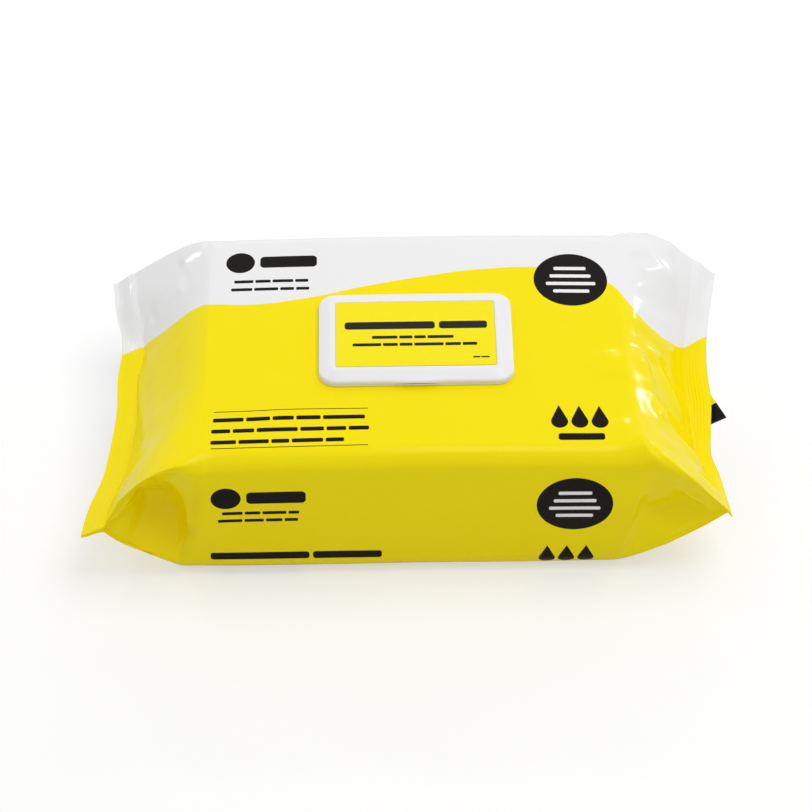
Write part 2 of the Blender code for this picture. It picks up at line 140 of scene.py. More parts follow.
def grid_faces(rows: int, columns: int, close_rows: bool) -> np.ndarray:
    """Quads of a tube of closed loops.

    Args:
        rows: How many loops there are.
        columns: Points in each loop.
        close_rows: Join the last loop to the first, as in a ring.

    Returns:
        An array of four point numbers for each quad.
    """
    i = np.arange(rows if close_rows else rows - 1)[:, None]
    j = np.arange(columns)[None, :]
    low, high = i * columns, (i + 1) % rows * columns
    after = (j + 1) % columns
    return np.stack([low + j, low + after, high + after, high + j], -1).reshape(-1, 4)


def end_faces(rows: int, columns: int) -> tuple[list[int], list[int]]:
    """The faces that close a tube of loops at its first and at its last loop."""
    first = list(range(columns))
    return first, [(rows - 1) * columns + n for n in first]


def mesh_object(name: str, points: np.ndarray, faces: list) -> Piece:
    """Make a smooth-shaded object from points and faces, with its faces pointing out.

    Args:
        name: The piece's name.
        points: One row of X, Y and Z for each point, in metres.
        faces: Rows of point numbers.

    Returns:
        The new object, linked to the scene.
    """
    mesh = bpy.data.meshes.new(name)
    mesh.from_pydata(np.asarray(points).reshape(-1, 3).tolist(), [], faces)
    solid = bmesh.new()
    solid.from_mesh(mesh)
    if solid.calc_volume(signed=True) < 0:
        bmesh.ops.reverse_faces(solid, faces=solid.faces)
    solid.to_mesh(mesh)
    solid.free()
    obj = bpy.data.objects.new(name, mesh)
    bpy.context.scene.collection.objects.link(obj)
    mesh.shade_smooth()
    return obj


def put_on(piece: Piece, material: Material) -> None:
    """Give a piece one finish in place of any that it has."""
    piece.data.materials.clear()
    piece.data.materials.append(material)


def dress_piece(piece: Piece, material: Material, body: str) -> None:
    """Give a piece its finish and its body.

    Args:
        piece: The piece.
        material: Its Blender material.
        body: The body that it moves with.
    """
    put_on(piece, material)
    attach(piece, body)


class NodeTree:
    """A tree of shader nodes, filled in a few words."""

    def __init__(self, tree: bpy.types.NodeTree) -> None:
        """Work on the given tree."""
        self.tree = tree

    def put(self, socket: Socket, value: object) -> None:
        """Link a socket to another one, or set its value.

        Args:
            socket: The input to fill.
            value: A socket, a plain value, or None to leave the input as it is.
        """
        if isinstance(value, Socket):
            self.tree.links.new(value, socket)
        elif value is not None:
            socket.default_value = value

    def add(self, kind: str, inputs: dict | None = None, **settings: object) -> bpy.types.Node:
        """Add a node.

        Args:
            kind: The node's type, without ShaderNode in front.
            inputs: Values or sockets for its inputs, by name or number.
            **settings: The node's own settings.

        Returns:
            The new node.
        """
        node = self.tree.nodes.new("ShaderNode" + kind)
        for key, value in settings.items():
            setattr(node, key, value)
        for key, value in (inputs or {}).items():
            self.put(node.inputs[key], value)
        return node

    def math(self, operation: str, *values: object) -> Socket:
        """The result of a Math node."""
        return self.add("Math", dict(enumerate(values)), operation=operation).outputs[0]

    def vector(self, operation: str, *values: object) -> Socket:
        """The vector result of a Vector Math node."""
        return self.add("VectorMath", dict(enumerate(values)), operation=operation).outputs["Vector"]

    def length(self, vector: Socket) -> Socket:
        """The length of a vector."""
        return self.add("VectorMath", {0: vector}, operation="LENGTH").outputs["Value"]

    def parts(self, vector: Socket) -> list[Socket]:
        """The X, Y and Z of a vector."""
        return list(self.add("SeparateXYZ", {0: vector}).outputs)

    def colour(self, red: object, green: object, blue: object) -> Socket:
        """A colour from its three parts."""
        return self.add("CombineColor", {0: red, 1: green, 2: blue}).outputs[0]

    def mix(self, share: object, first: object, second: object, blend: str = "MIX") -> Socket:
        """Blend two colours by a share."""
        inputs = {0: share, 6: first, 7: second}
        return self.add("Mix", inputs, data_type="RGBA", blend_type=blend).outputs[2]

    def noise(self, place: object, scale: float, detail: float = 2.0) -> Socket:
        """The value of a noise texture."""
        return self.add("TexNoise", {"Vector": place, "Scale": scale, "Detail": detail}).outputs[0]

    def spread(
        self, value: object, low: float, high: float, from_low: float = 0.0, from_high: float = 1.0
    ) -> Socket:
        """Spread a value from its own range, 0 to 1 if none is given, to low..high."""
        ends = {"From Min": from_low, "From Max": from_high, "To Min": low, "To Max": high}
        return self.add("MapRange", {"Value": value, **ends}).outputs[0]

    def film_place(self) -> Socket:
        """The place on the film, in metres along the pack and round it."""
        return self.add("UVMap", uv_map=FILM_MAP).outputs[0]

    def object_place(self) -> Socket:
        """The place in the piece's own frame, in metres."""
        return self.add("TexCoord").outputs["Object"]

    def bump(self, height: object, strength: float, distance: float) -> Socket:
        """A surface normal roughened by a height, with its distance in millimetres."""
        inputs = {"Height": height, "Strength": strength, "Distance": distance * MM}
        return self.add("Bump", inputs).outputs[0]


class Finish(NodeTree):
    """A material and its node tree."""

    def __init__(self, name: str) -> None:
        """Start a material with an empty Principled shader.

        Args:
            name: The material's name.
        """
        self.material = bpy.data.materials.new(name)
        self.material.use_nodes = True
        super().__init__(self.material.node_tree)
        self.shader = self.tree.nodes["Principled BSDF"]

    def finish(self, **inputs: object) -> Material:
        """Set the shader's inputs, named with _ for a space, and return the material."""
        for key, value in inputs.items():
            self.put(self.shader.inputs[key.replace("_", " ")], value)
        return self.material


@dataclass(frozen=True)
class Bar:
    """A printed bar with round corners, in millimetres on the piece's map."""

    left: float
    right: float
    low: float
    high: float
    rounding: float


@dataclass(frozen=True)
class Drop:
    """A printed drop: a disc of a radius, drawn up to a tip at a height over its middle."""

    u: float
    v: float
    radius: float
    tip: float


@dataclass(frozen=True)
class WordLine:
    """A line of print round a middle height, as plain bars of word length, in millimetres."""

    left: float
    right: float
    middle: float
    height: float
    word: float
    gap: float
    seed: int
    word_range: tuple = (0.6, 1.4)
    rounding_share: float = 0.3

    def bars(self) -> list[Bar]:
        """Work out the words of the line.

        Returns:
            Bars of uneven lengths that fill the line from end to end.
        """
        pick = random.Random(self.seed)
        count = max(1, round((self.right - self.left) / (self.word + self.gap)))
        shares = [pick.uniform(*self.word_range) for _ in range(count)]
        room = self.right - self.left - self.gap * (count - 1)
        low, high = self.middle - self.height / 2, self.middle + self.height / 2
        bars, place = [], self.left
        for share in shares:
            length = room * share / sum(shares)
            rounding = min(length, self.height) * self.rounding_share
            bars.append(Bar(place, place + length, low, high, rounding))
            place += length + self.gap
        return bars


def disc(u: float, v: float, radius: float) -> Bar:
    """A printed disc, as a bar whose round corners all but meet."""
    half = ALL_BUT_WHOLE * radius
    return Bar(u - half, u + half, v - half, v + half, ALL_BUT_WHOLE * half)


class PrintMask:
    """Draws printed shapes into a material, on a map of real sizes."""

    BAR = {"Place": "Vector", "Centre": "Vector", "Half": "Vector", "Rounding": "Float"}
    DROP = {"Place": "Vector", "Centre": "Vector", "Radius": "Float", "Tip": "Float"}

    def __init__(self, nodes: NodeTree, place: Socket) -> None:
        """Work on the given node tree, at the given place on the map."""
        self.nodes = nodes
        self.place = place

    @staticmethod
    def bar_ink(nodes: NodeTree, place: Socket, centre: Socket, half: Socket, rounding: Socket) -> Socket:
        """Draw a bar with round corners.

        Args:
            nodes: The node group's tree.
            place: The place on the map.
            centre: The bar's middle.
            half: Half its size, without its corners.
            rounding: Its corner radius.

        Returns:
            A socket that is 1 on the bar and 0 beside it.
        """
        apart = nodes.vector("ABSOLUTE", nodes.vector("SUBTRACT", place, centre))
        corner = nodes.vector("MAXIMUM", nodes.vector("SUBTRACT", apart, half), (0.0, 0.0, 0.0))
        return nodes.math("LESS_THAN", nodes.length(corner), rounding)

    @staticmethod
    def drop_ink(nodes: NodeTree, place: Socket, centre: Socket, radius: Socket, tip: Socket) -> Socket:
        """Draw a drop: a disc under a cone that touches it.

        Args:
            nodes: The node group's tree.
            place: The place on the map.
            centre: The disc's middle.
            radius: The disc's radius.
            tip: Height of the cone's tip over the middle.

        Returns:
            A socket that is 1 on the drop and 0 beside it.
        """
        apart = nodes.vector("SUBTRACT", place, centre)
        round_part = nodes.math("LESS_THAN", nodes.length(apart), radius)
        across, up, _ = nodes.parts(apart)
        sine = nodes.math("DIVIDE", radius, tip)
        slope = nodes.math("TANGENT", nodes.math("ARCSINE", sine))
        width = nodes.math("MULTIPLY", nodes.math("SUBTRACT", tip, up), slope)
        inside = nodes.math("LESS_THAN", nodes.math("ABSOLUTE", across), width)
        above = nodes.math("GREATER_THAN", up, nodes.math("MULTIPLY", radius, sine))
        return nodes.math("MAXIMUM", round_part, nodes.math("MULTIPLY", inside, above))

    def shape(self, name: str, inputs: dict[str, str], ink: Callable, *values: object) -> Socket:
        """Add one shape, from a node group that is made once and shared.

        Args:
            name: The node group's name.
            inputs: The kind of socket of each of its inputs, by name.
            ink: The method that fills the group.
            *values: Values of the inputs after the place.

        Returns:
            A socket that is 1 on the shape and 0 beside it.
        """
        tree = bpy.data.node_groups.get(name)
        if tree is None:
            tree = bpy.data.node_groups.new(name, "ShaderNodeTree")
            for key, kind in inputs.items():
                tree.interface.new_socket(name=key, in_out="INPUT", socket_type="NodeSocket" + kind)
            tree.interface.new_socket(name="Ink", in_out="OUTPUT", socket_type="NodeSocketFloat")
            given = tree.nodes.new("NodeGroupInput").outputs
            nodes = NodeTree(tree)
            drawn = ink(nodes, *(given[key] for key in inputs))
            nodes.put(tree.nodes.new("NodeGroupOutput").inputs[0], drawn)
        node = self.nodes.tree.nodes.new("ShaderNodeGroup")
        node.node_tree = tree
        for key, value in zip(inputs, (self.place, *values)):
            self.nodes.put(node.inputs[key], value)
        return node.outputs[0]

    def draw(self, shapes: list[Bar | Drop]) -> Socket:
        """Draw several shapes.

        Args:
            shapes: Bars and drops, in millimetres on the map.

        Returns:
            A socket that is 1 on the ink and 0 beside it.
        """
        ink: object = 0.0
        for one in shapes:
            if isinstance(one, Drop):
                centre = (one.u * MM, one.v * MM, 0.0)
                values = (centre, one.radius * MM, one.tip * MM)
                part = self.shape("printed_drop", self.DROP, self.drop_ink, *values)
            else:
                r = one.rounding
                centre = ((one.left + one.right) / 2 * MM, (one.low + one.high) / 2 * MM, 0.0)
                half = (((one.right - one.left) / 2 - r) * MM, ((one.high - one.low) / 2 - r) * MM, 0.0)
                part = self.shape("printed_bar", self.BAR, self.bar_ink, centre, half, r * MM)
            ink = self.nodes.math("MAXIMUM", ink, part)
        return ink


class Ink(Enum):
    """Printing inks and the film under them, as linear colours."""

    YELLOW = (0.98, 0.80, 0.0005, 1.0)
    WHITE = (0.88, 0.88, 0.88, 1.0)
    BLACK = (0.006, 0.004, 0.003, 1.0)
    LABEL_YELLOW = (0.96, 0.82, 0.002, 1.0)


@dataclass(frozen=True)
class FilmPrint:
    """The printed film: yellow and white fields that meet in a wave, with dark shapes.

    Its places are in millimetres on the film: u along the pack from its middle, and v
    round it from the middle of the top, rising towards the back. Lines are given by
    their left, right, middle, height and word length, and on the front face their
    middle is a height over the table. Signs and discs are given by their u and v,
    drops by their left, right, middle and height.
    """

    front_v: float
    back_seal_v: float
    wave_places: tuple = (
        (-185, 31), (-173, 33.5), (-162, 34.4), (-138, 30.7), (-123, 29.9), (-108, 30.9), (-85, 30),
        (-62, 32.8), (-28, 41.5), (8, 49.3), (38, 54), (62, 55), (84, 51.5), (103, 42.3), (108, 35.8),
        (114, 27.3), (122, 22), (132, 20.7), (147, 23.6), (162, 29.1), (173, 34.4), (185, 40),
    )  # fmt: skip
    map_u: float = 200
    map_v: tuple = (20, 60)
    top_lines: tuple = (
        (-94.5, -55.5, 47.2, 2.2, 9), (-96, -55, 41.3, 2.2, 9), (-103.3, -26.6, -52.3, 2.7, 13),
        (-104, -24.6, -59.9, 2.7, 13), (-104.2, -37.2, -67.5, 2.7, 13), (70.4, 93.8, -67.3, 4.6, 24),
    )  # fmt: skip
    front_lines: tuple = (
        (-99.7, -60.6, 49.9, 2.3, 9), (-102, -61.3, 44.3, 2.3, 9), (-107, -19, 15.8, 5.8, 40),
        (-106, -60, 3, 3.2, 12),
    )  # fmt: skip
    rules: tuple = ((-103, -25, -46.6), (-104, -25.2, -71.6))
    rule_height: float = 0.5
    rule_rounding: float = 0.1
    top_sign: tuple = (-99, 61.5)
    front_sign: tuple = (-105, 61)
    sign_radius: float = 7.6
    sign_bar: tuple = (18, 48, 4.2, 2.4)
    top_drops: tuple = (66.3, 97.0, -53.8, 15.2)
    front_drops: tuple = (61.0, 91.0, 13.4, 14.6)
    drop_fullness: float = 0.42
    top_disc: tuple = (82.4, 45.2)
    front_disc: tuple = (79, 52.7)
    disc_radius: float = 19.4
    disc_lines: tuple = ((17, 8.4), (21.6, 2.8), (26, -2.8), (19, -8.4))
    disc_line_height: float = 2.4
    disc_word: float = 30
    gap_share: float = 0.45
    widest_gap: float = 1.8
    roughness_range: tuple = (0.09, 0.16)
    roughness_scale: float = 160.0
    gloss: float = 0.11
    tone_range: tuple = (0.985, 1.0)
    tone_scale: float = 30.0
    crease_scales: tuple = (70.0, 240.0, 1.0)
    crease_bump: tuple = (0.06, 0.4)

    def line(self, left: float, right: float, middle: float, height: float, word: float) -> list[Bar]:
        """Draw a line of words.

        Args:
            left: Its lowest u.
            right: Its highest u.
            middle: Its middle v.
            height: Its height.
            word: Its usual word length.

        Returns:
            A bar for each word.
        """
        seed = round(abs(middle) * 10 + abs(left))
        gap = min(self.widest_gap, self.gap_share * height)
        return WordLine(left, right, middle, height, word, gap, seed).bars()

    def sign(self, left: float, middle: float) -> list[Bar]:
        """Draw a plain sign at the head of a text.

        Args:
            left: Its lowest u.
            middle: Its middle v.

        Returns:
            A disc and a thick bar.
        """
        start, end, half, rounding = self.sign_bar
        bar = Bar(left + start, left + end, middle - half, middle + half, rounding)
        return [disc(left + self.sign_radius, middle, self.sign_radius), bar]

    def drops(self, left: float, right: float, middle: float, height: float) -> list[Drop]:
        """Draw three drops side by side.

        Args:
            left: The lowest u of the place that they fill.
            right: Its highest u.
            middle: Its middle v.
            height: Its height.

        Returns:
            The drops, from left to right.
        """
        pitch = (right - left) / 3
        radius = self.drop_fullness * pitch
        low = middle - height / 2 + radius
        return [Drop(left + (k + 0.5) * pitch, low, radius, height - radius) for k in range(3)]

    def dark_shapes(self) -> list[Bar | Drop]:
        """Draw what is printed in black on the top and the front face.

        Returns:
            All the dark shapes but the two large discs.
        """
        front = self.front_v / MM
        shapes = self.sign(*self.top_sign) + self.drops(*self.top_drops)
        left, middle = self.front_sign
        shapes += self.sign(left, front + middle)
        left, right, middle, height = self.front_drops
        shapes += self.drops(left, right, front + middle, height)
        for one in self.top_lines:
            shapes += self.line(*one)
        for left, right, middle, height, word in self.front_lines:
            shapes += self.line(left, right, front + middle, height, word)
        half = self.rule_height / 2
        for left, right, middle in self.rules:
            shapes.append(Bar(left, right, middle - half, middle + half, self.rule_rounding))
        return shapes

    def disc_shapes(self) -> tuple[list[Bar], list[Bar]]:
        """Draw the two large dark discs.

        Returns:
            The discs, and the white lines on them.
        """
        discs, words = [], []
        for (u, middle), base in ((self.top_disc, 0.0), (self.front_disc, self.front_v / MM)):
            v = base + middle
            discs.append(disc(u, v, self.disc_radius))
            for length, rise in self.disc_lines:
                ends = (u - length / 2, u + length / 2)
                words += self.line(*ends, v + rise, self.disc_line_height, self.disc_word)
        return discs, words

    def wave(self, nodes: NodeTree, u: Socket) -> Socket:
        """Draw the line between the two fields.

        Args:
            nodes: The material's nodes.
            u: Metres along the pack.

        Returns:
            The v of the line at that u, in metres.
        """
        share = nodes.spread(u, 0.0, 1.0, -self.map_u * MM, self.map_u * MM)
        curve = nodes.add("FloatCurve", {"Value": share})
        points = curve.mapping.curves[0].points
        low, high = self.map_v
        wave = self.wave_places
        places = [((along / self.map_u + 1) / 2, (v - low) / (high - low)) for along, v in wave]
        points[0].location, points[1].location = places[0], places[-1]
        for place in places[1:-1]:
            points.new(*place)
        curve.mapping.update()
        return nodes.spread(curve.outputs[0], low * MM, high * MM)

    def material(self) -> Material:
        """Build the film's finish.

        Returns:
            The material.
        """
        nodes = Finish("printed_film")
        place, around = nodes.film_place(), nodes.object_place()
        u, v, _ = nodes.parts(place)
        behind = nodes.math("GREATER_THAN", v, self.wave(nodes, u))
        under = nodes.math("LESS_THAN", v, self.back_seal_v)
        colour = nodes.mix(nodes.math("MAXIMUM", behind, under), Ink.YELLOW.value, Ink.WHITE.value)
        mask = PrintMask(nodes, place)
        discs, words = self.disc_shapes()
        colour = nodes.mix(mask.draw(self.dark_shapes() + discs), colour, Ink.BLACK.value)
        colour = nodes.mix(mask.draw(words), colour, Ink.WHITE.value)
        tone = nodes.spread(nodes.noise(around, self.tone_scale, 3.0), *self.tone_range)
        tinted = nodes.mix(1.0, colour, nodes.colour(tone, tone, tone), "MULTIPLY")
        roughness = nodes.spread(nodes.noise(around, self.roughness_scale), *self.roughness_range)
        creases = nodes.noise(nodes.vector("MULTIPLY", place, self.crease_scales), 1.0, 4.0)
        return nodes.finish(
            Base_Color=tinted, Roughness=roughness, Specular_IOR_Level=self.gloss,
            Normal=nodes.bump(creases, *self.crease_bump),
        )  # fmt: skip


@dataclass(frozen=True)
class WhitePlastic:
    """Satin polypropylene with a fine moulded grain."""

    colour: tuple = (0.86, 0.86, 0.89, 1.0)
    roughness_range: tuple = (0.30, 0.40)
    roughness_scale: float = 220.0
    grain_scale: float = 900.0
    grain_bump: tuple = (0.12, 0.1)
    translucence: float = 0.06
    light_depth: float = 2.0

    def material(self) -> Material:
        """Build the lid's finish.

        Returns:
            The material.
        """
        nodes = Finish("white_plastic")
        place = nodes.object_place()
        roughness = nodes.spread(nodes.noise(place, self.roughness_scale), *self.roughness_range)
        bump = nodes.bump(nodes.noise(place, self.grain_scale, 3.0), *self.grain_bump)
        return nodes.finish(
            Base_Color=self.colour, Roughness=roughness, Normal=bump, Subsurface_Weight=self.translucence,
            Subsurface_Radius=(self.light_depth * MM,) * 3, Subsurface_Scale=1.0,
        )  # fmt: skip


@dataclass(frozen=True)
class LabelPrint:
    """The lid label's print: a heading and a few lines of plain word bars.

    Lines are given by their left, right, middle, height and word length, in millimetres
    from the label's middle, which is given in metres in the pack's own frame.
    """

    centre: tuple
    lines: tuple = (
        (-36.5, 37, 6.0, 5.4, 34), (-22.5, 19.5, -2.6, 2.2, 10), (-32.5, 31.5, -7.9, 2.2, 9),
        (29, 37.5, -17.6, 1.1, 5),
    )  # fmt: skip
    gap_share: float = 0.4
    widest_gap: float = 2.6
    roughness_range: tuple = (0.24, 0.34)
    roughness_scale: float = 300.0
    grain_scale: float = 500.0
    grain_bump: tuple = (0.08, 0.1)
    gloss: float = 0.2

    def material(self) -> Material:
        """Build the label's finish.

        Returns:
            The material.
        """
        nodes = Finish("label_film")
        world = nodes.object_place()
        place = nodes.vector("MULTIPLY", nodes.vector("SUBTRACT", world, self.centre), (1.0, 1.0, 0.0))
        words: list[Bar] = []
        for left, right, middle, height, word in self.lines:
            gap = min(self.widest_gap, self.gap_share * height)
            words += WordLine(left, right, middle, height, word, gap, round(height * 10)).bars()
        colour = nodes.mix(PrintMask(nodes, place).draw(words), Ink.LABEL_YELLOW.value, Ink.BLACK.value)
        roughness = nodes.spread(nodes.noise(world, self.roughness_scale), *self.roughness_range)
        return nodes.finish(
            Base_Color=colour, Roughness=roughness, Specular_IOR_Level=self.gloss,
            Normal=nodes.bump(nodes.noise(world, self.grain_scale), *self.grain_bump),
        )  # fmt: skip


@dataclass(frozen=True)
class SealFilm:
    """The peel-off sticker: silvery laminate with a faint embossed crosshatch."""

    pitch: float = 1.2
    hatch_bump: tuple = (0.25, 0.1)
    tone_range: tuple = (0.68, 0.76)
    tone_scale: float = 120.0
    blueness: float = 0.015
    roughness_range: tuple = (0.25, 0.4)
    roughness_scale: float = 400.0
    metal: float = 0.35

    def material(self) -> Material:
        """Build the sticker's finish.

        Returns:
            The material.
        """
        nodes = Finish("seal_film")
        place = nodes.object_place()
        diagonal = {"Vector": place, "Rotation": (0, 0, math.radians(45))}
        turned = nodes.add("Mapping", diagonal).outputs[0]
        waves = (2 * math.pi / (self.pitch * MM),) * 3
        along, across, _ = nodes.parts(nodes.vector("MULTIPLY", turned, waves))
        hatch = nodes.math("MULTIPLY", nodes.math("SINE", along), nodes.math("SINE", across))
        tone = nodes.spread(nodes.noise(place, self.tone_scale), *self.tone_range)
        colour = nodes.colour(tone, tone, nodes.math("ADD", tone, self.blueness))
        roughness = nodes.spread(nodes.noise(place, self.roughness_scale), *self.roughness_range)
        bump = nodes.bump(hatch, *self.hatch_bump)
        return nodes.finish(Base_Color=colour, Roughness=roughness, Metallic=self.metal, Normal=bump)


@dataclass(frozen=True)
class TailPrint:
    """The back seal's tail: yellow film with a black registration block."""

    block: Bar = Bar(-20, 1, -9.5, 2.6, 0.3)
    roughness_range: tuple = (0.12, 0.2)
    roughness_scale: float = 160.0

    def material(self) -> Material:
        """Build the tail's finish.

        Returns:
            The material.
        """
        nodes = Finish("tail_film")
        ink = PrintMask(nodes, nodes.film_place()).draw([self.block])
        colour = nodes.mix(ink, Ink.YELLOW.value, Ink.BLACK.value)
        spots = nodes.noise(nodes.object_place(), self.roughness_scale)
        roughness = nodes.spread(spots, *self.roughness_range)
        return nodes.finish(Base_Color=colour, Roughness=roughness, Specular_IOR_Level=FilmPrint.gloss)


@dataclass(frozen=True)
class PackEnd:
    """One end of the film, seen from the middle of the pack.

    Rows of three, and the five places of the cut edge, read from the front of the pack
    to its back, as in the solid. Places of the cut edge are shares of the way to its
    tips, with its reach past the body at each, and rises are over the middle height.
    Swells of the cut edge are given by their middle, half width and size.
    """

    side: int
    ear_front: float
    ear_back: float
    edge_shares: tuple
    edge_reaches: tuple
    edge_rises: tuple
    crimp_rises: tuple
    seal_widths: tuple
    seal_thicknesses: tuple
    top_powers: tuple
    bottom_powers: tuple
    low_skew: float
    high_skew: float
    tuck_front: float
    tuck_back: float
    crease_front: float
    edge_swells: tuple


LEFT_END = PackEnd(
    side=-1, ear_front=4.5, ear_back=1, edge_shares=(-1, -0.605, -0.174, 0.442, 1),
    edge_reaches=(64, 55.5, 50.8, 48, 55.2), edge_rises=(-6, -1.5, 6), crimp_rises=(-1.5, 1.5, 13.5),
    seal_widths=(12, 12, 12), seal_thicknesses=(3.6, 0.6, 0.8), top_powers=(2.8, 1.45, 1.15),
    bottom_powers=(1.0, 2.0, 1.8), low_skew=16, high_skew=1, tuck_front=15, tuck_back=13, crease_front=-0.3,
    edge_swells=((20, 16, 2.6), (-70, 16, 2.0), (65, 12, 1.4)),
)  # fmt: skip

RIGHT_END = PackEnd(
    side=1, ear_front=1, ear_back=1, edge_shares=(-1, -0.521, 0.14, 0.407, 1),
    edge_reaches=(52.6, 46.4, 47, 48.8, 57.6), edge_rises=(-1.7, 4.5, 8), crimp_rises=(2, 0, 17.5),
    seal_widths=(3, 12, 12), seal_thicknesses=(2.6, 0.6, 0.8), top_powers=(1.4, 1.3, 1.9),
    bottom_powers=(1.15, 1.8, 1.8), low_skew=-6, high_skew=6, tuck_front=5, tuck_back=12, crease_front=-0.1,
    edge_swells=((-8, 16, 1.9), (-43, 8, -1.8)),
)  # fmt: skip


@dataclass(frozen=True)
class Fold:
    """A fold in the film through places on its map, in mm, that fades out at both ends.

    A negative height presses the film in instead.
    """

    places: tuple
    width: float
    height: float
    fade: float = 4.0

    def rise(self, u: np.ndarray, v: np.ndarray) -> np.ndarray:
        """Work out the fold over the film.

        Args:
            u: Places along the pack.
            v: Places round it.

        Returns:
            The fold's height at each place.
        """
        knots = np.array(self.places, dtype=float)
        nearest = np.full(u.shape, np.inf)
        travelled = np.zeros(u.shape)
        start = 0.0
        for here, there in zip(knots[:-1], knots[1:]):
            length = float(np.linalg.norm(there - here))
            way = (there - here) / length
            along = np.clip((u - here[0]) * way[0] + (v - here[1]) * way[1], 0, length)
            distance = np.hypot(u - here[0] - along * way[0], v - here[1] - along * way[1])
            travelled = np.where(distance < nearest, start + along, travelled)
            nearest = np.minimum(distance, nearest)
            start += length
        share = travelled / start
        faded = smooth(share * self.fade) * smooth((1 - share) * self.fade)
        return self.height * faded * crest(nearest, self.width)


@dataclass(frozen=True)
class Ripple:
    """A gentle random ripple in the film, longer along the pack than round it."""

    seed: int
    long_wave: tuple
    short_wave: tuple
    waves: int = 16

    def rise(self, u: np.ndarray, v: np.ndarray) -> np.ndarray:
        """Work out the ripple over the film.

        Args:
            u: Places along the pack.
            v: Places round it.

        Returns:
            The ripple's height at each place, about -1 to 1.
        """
        pick = np.random.default_rng(self.seed)
        total = np.zeros_like(u)
        for _ in range(self.waves):
            along = 2 * math.pi / pick.uniform(*self.long_wave) * pick.choice([-1, 1])
            around = 2 * math.pi / pick.uniform(*self.short_wave)
            total += np.sin(along * u + around * v + pick.uniform(0, 2 * math.pi))
        return total / math.sqrt(self.waves / 2) / 2


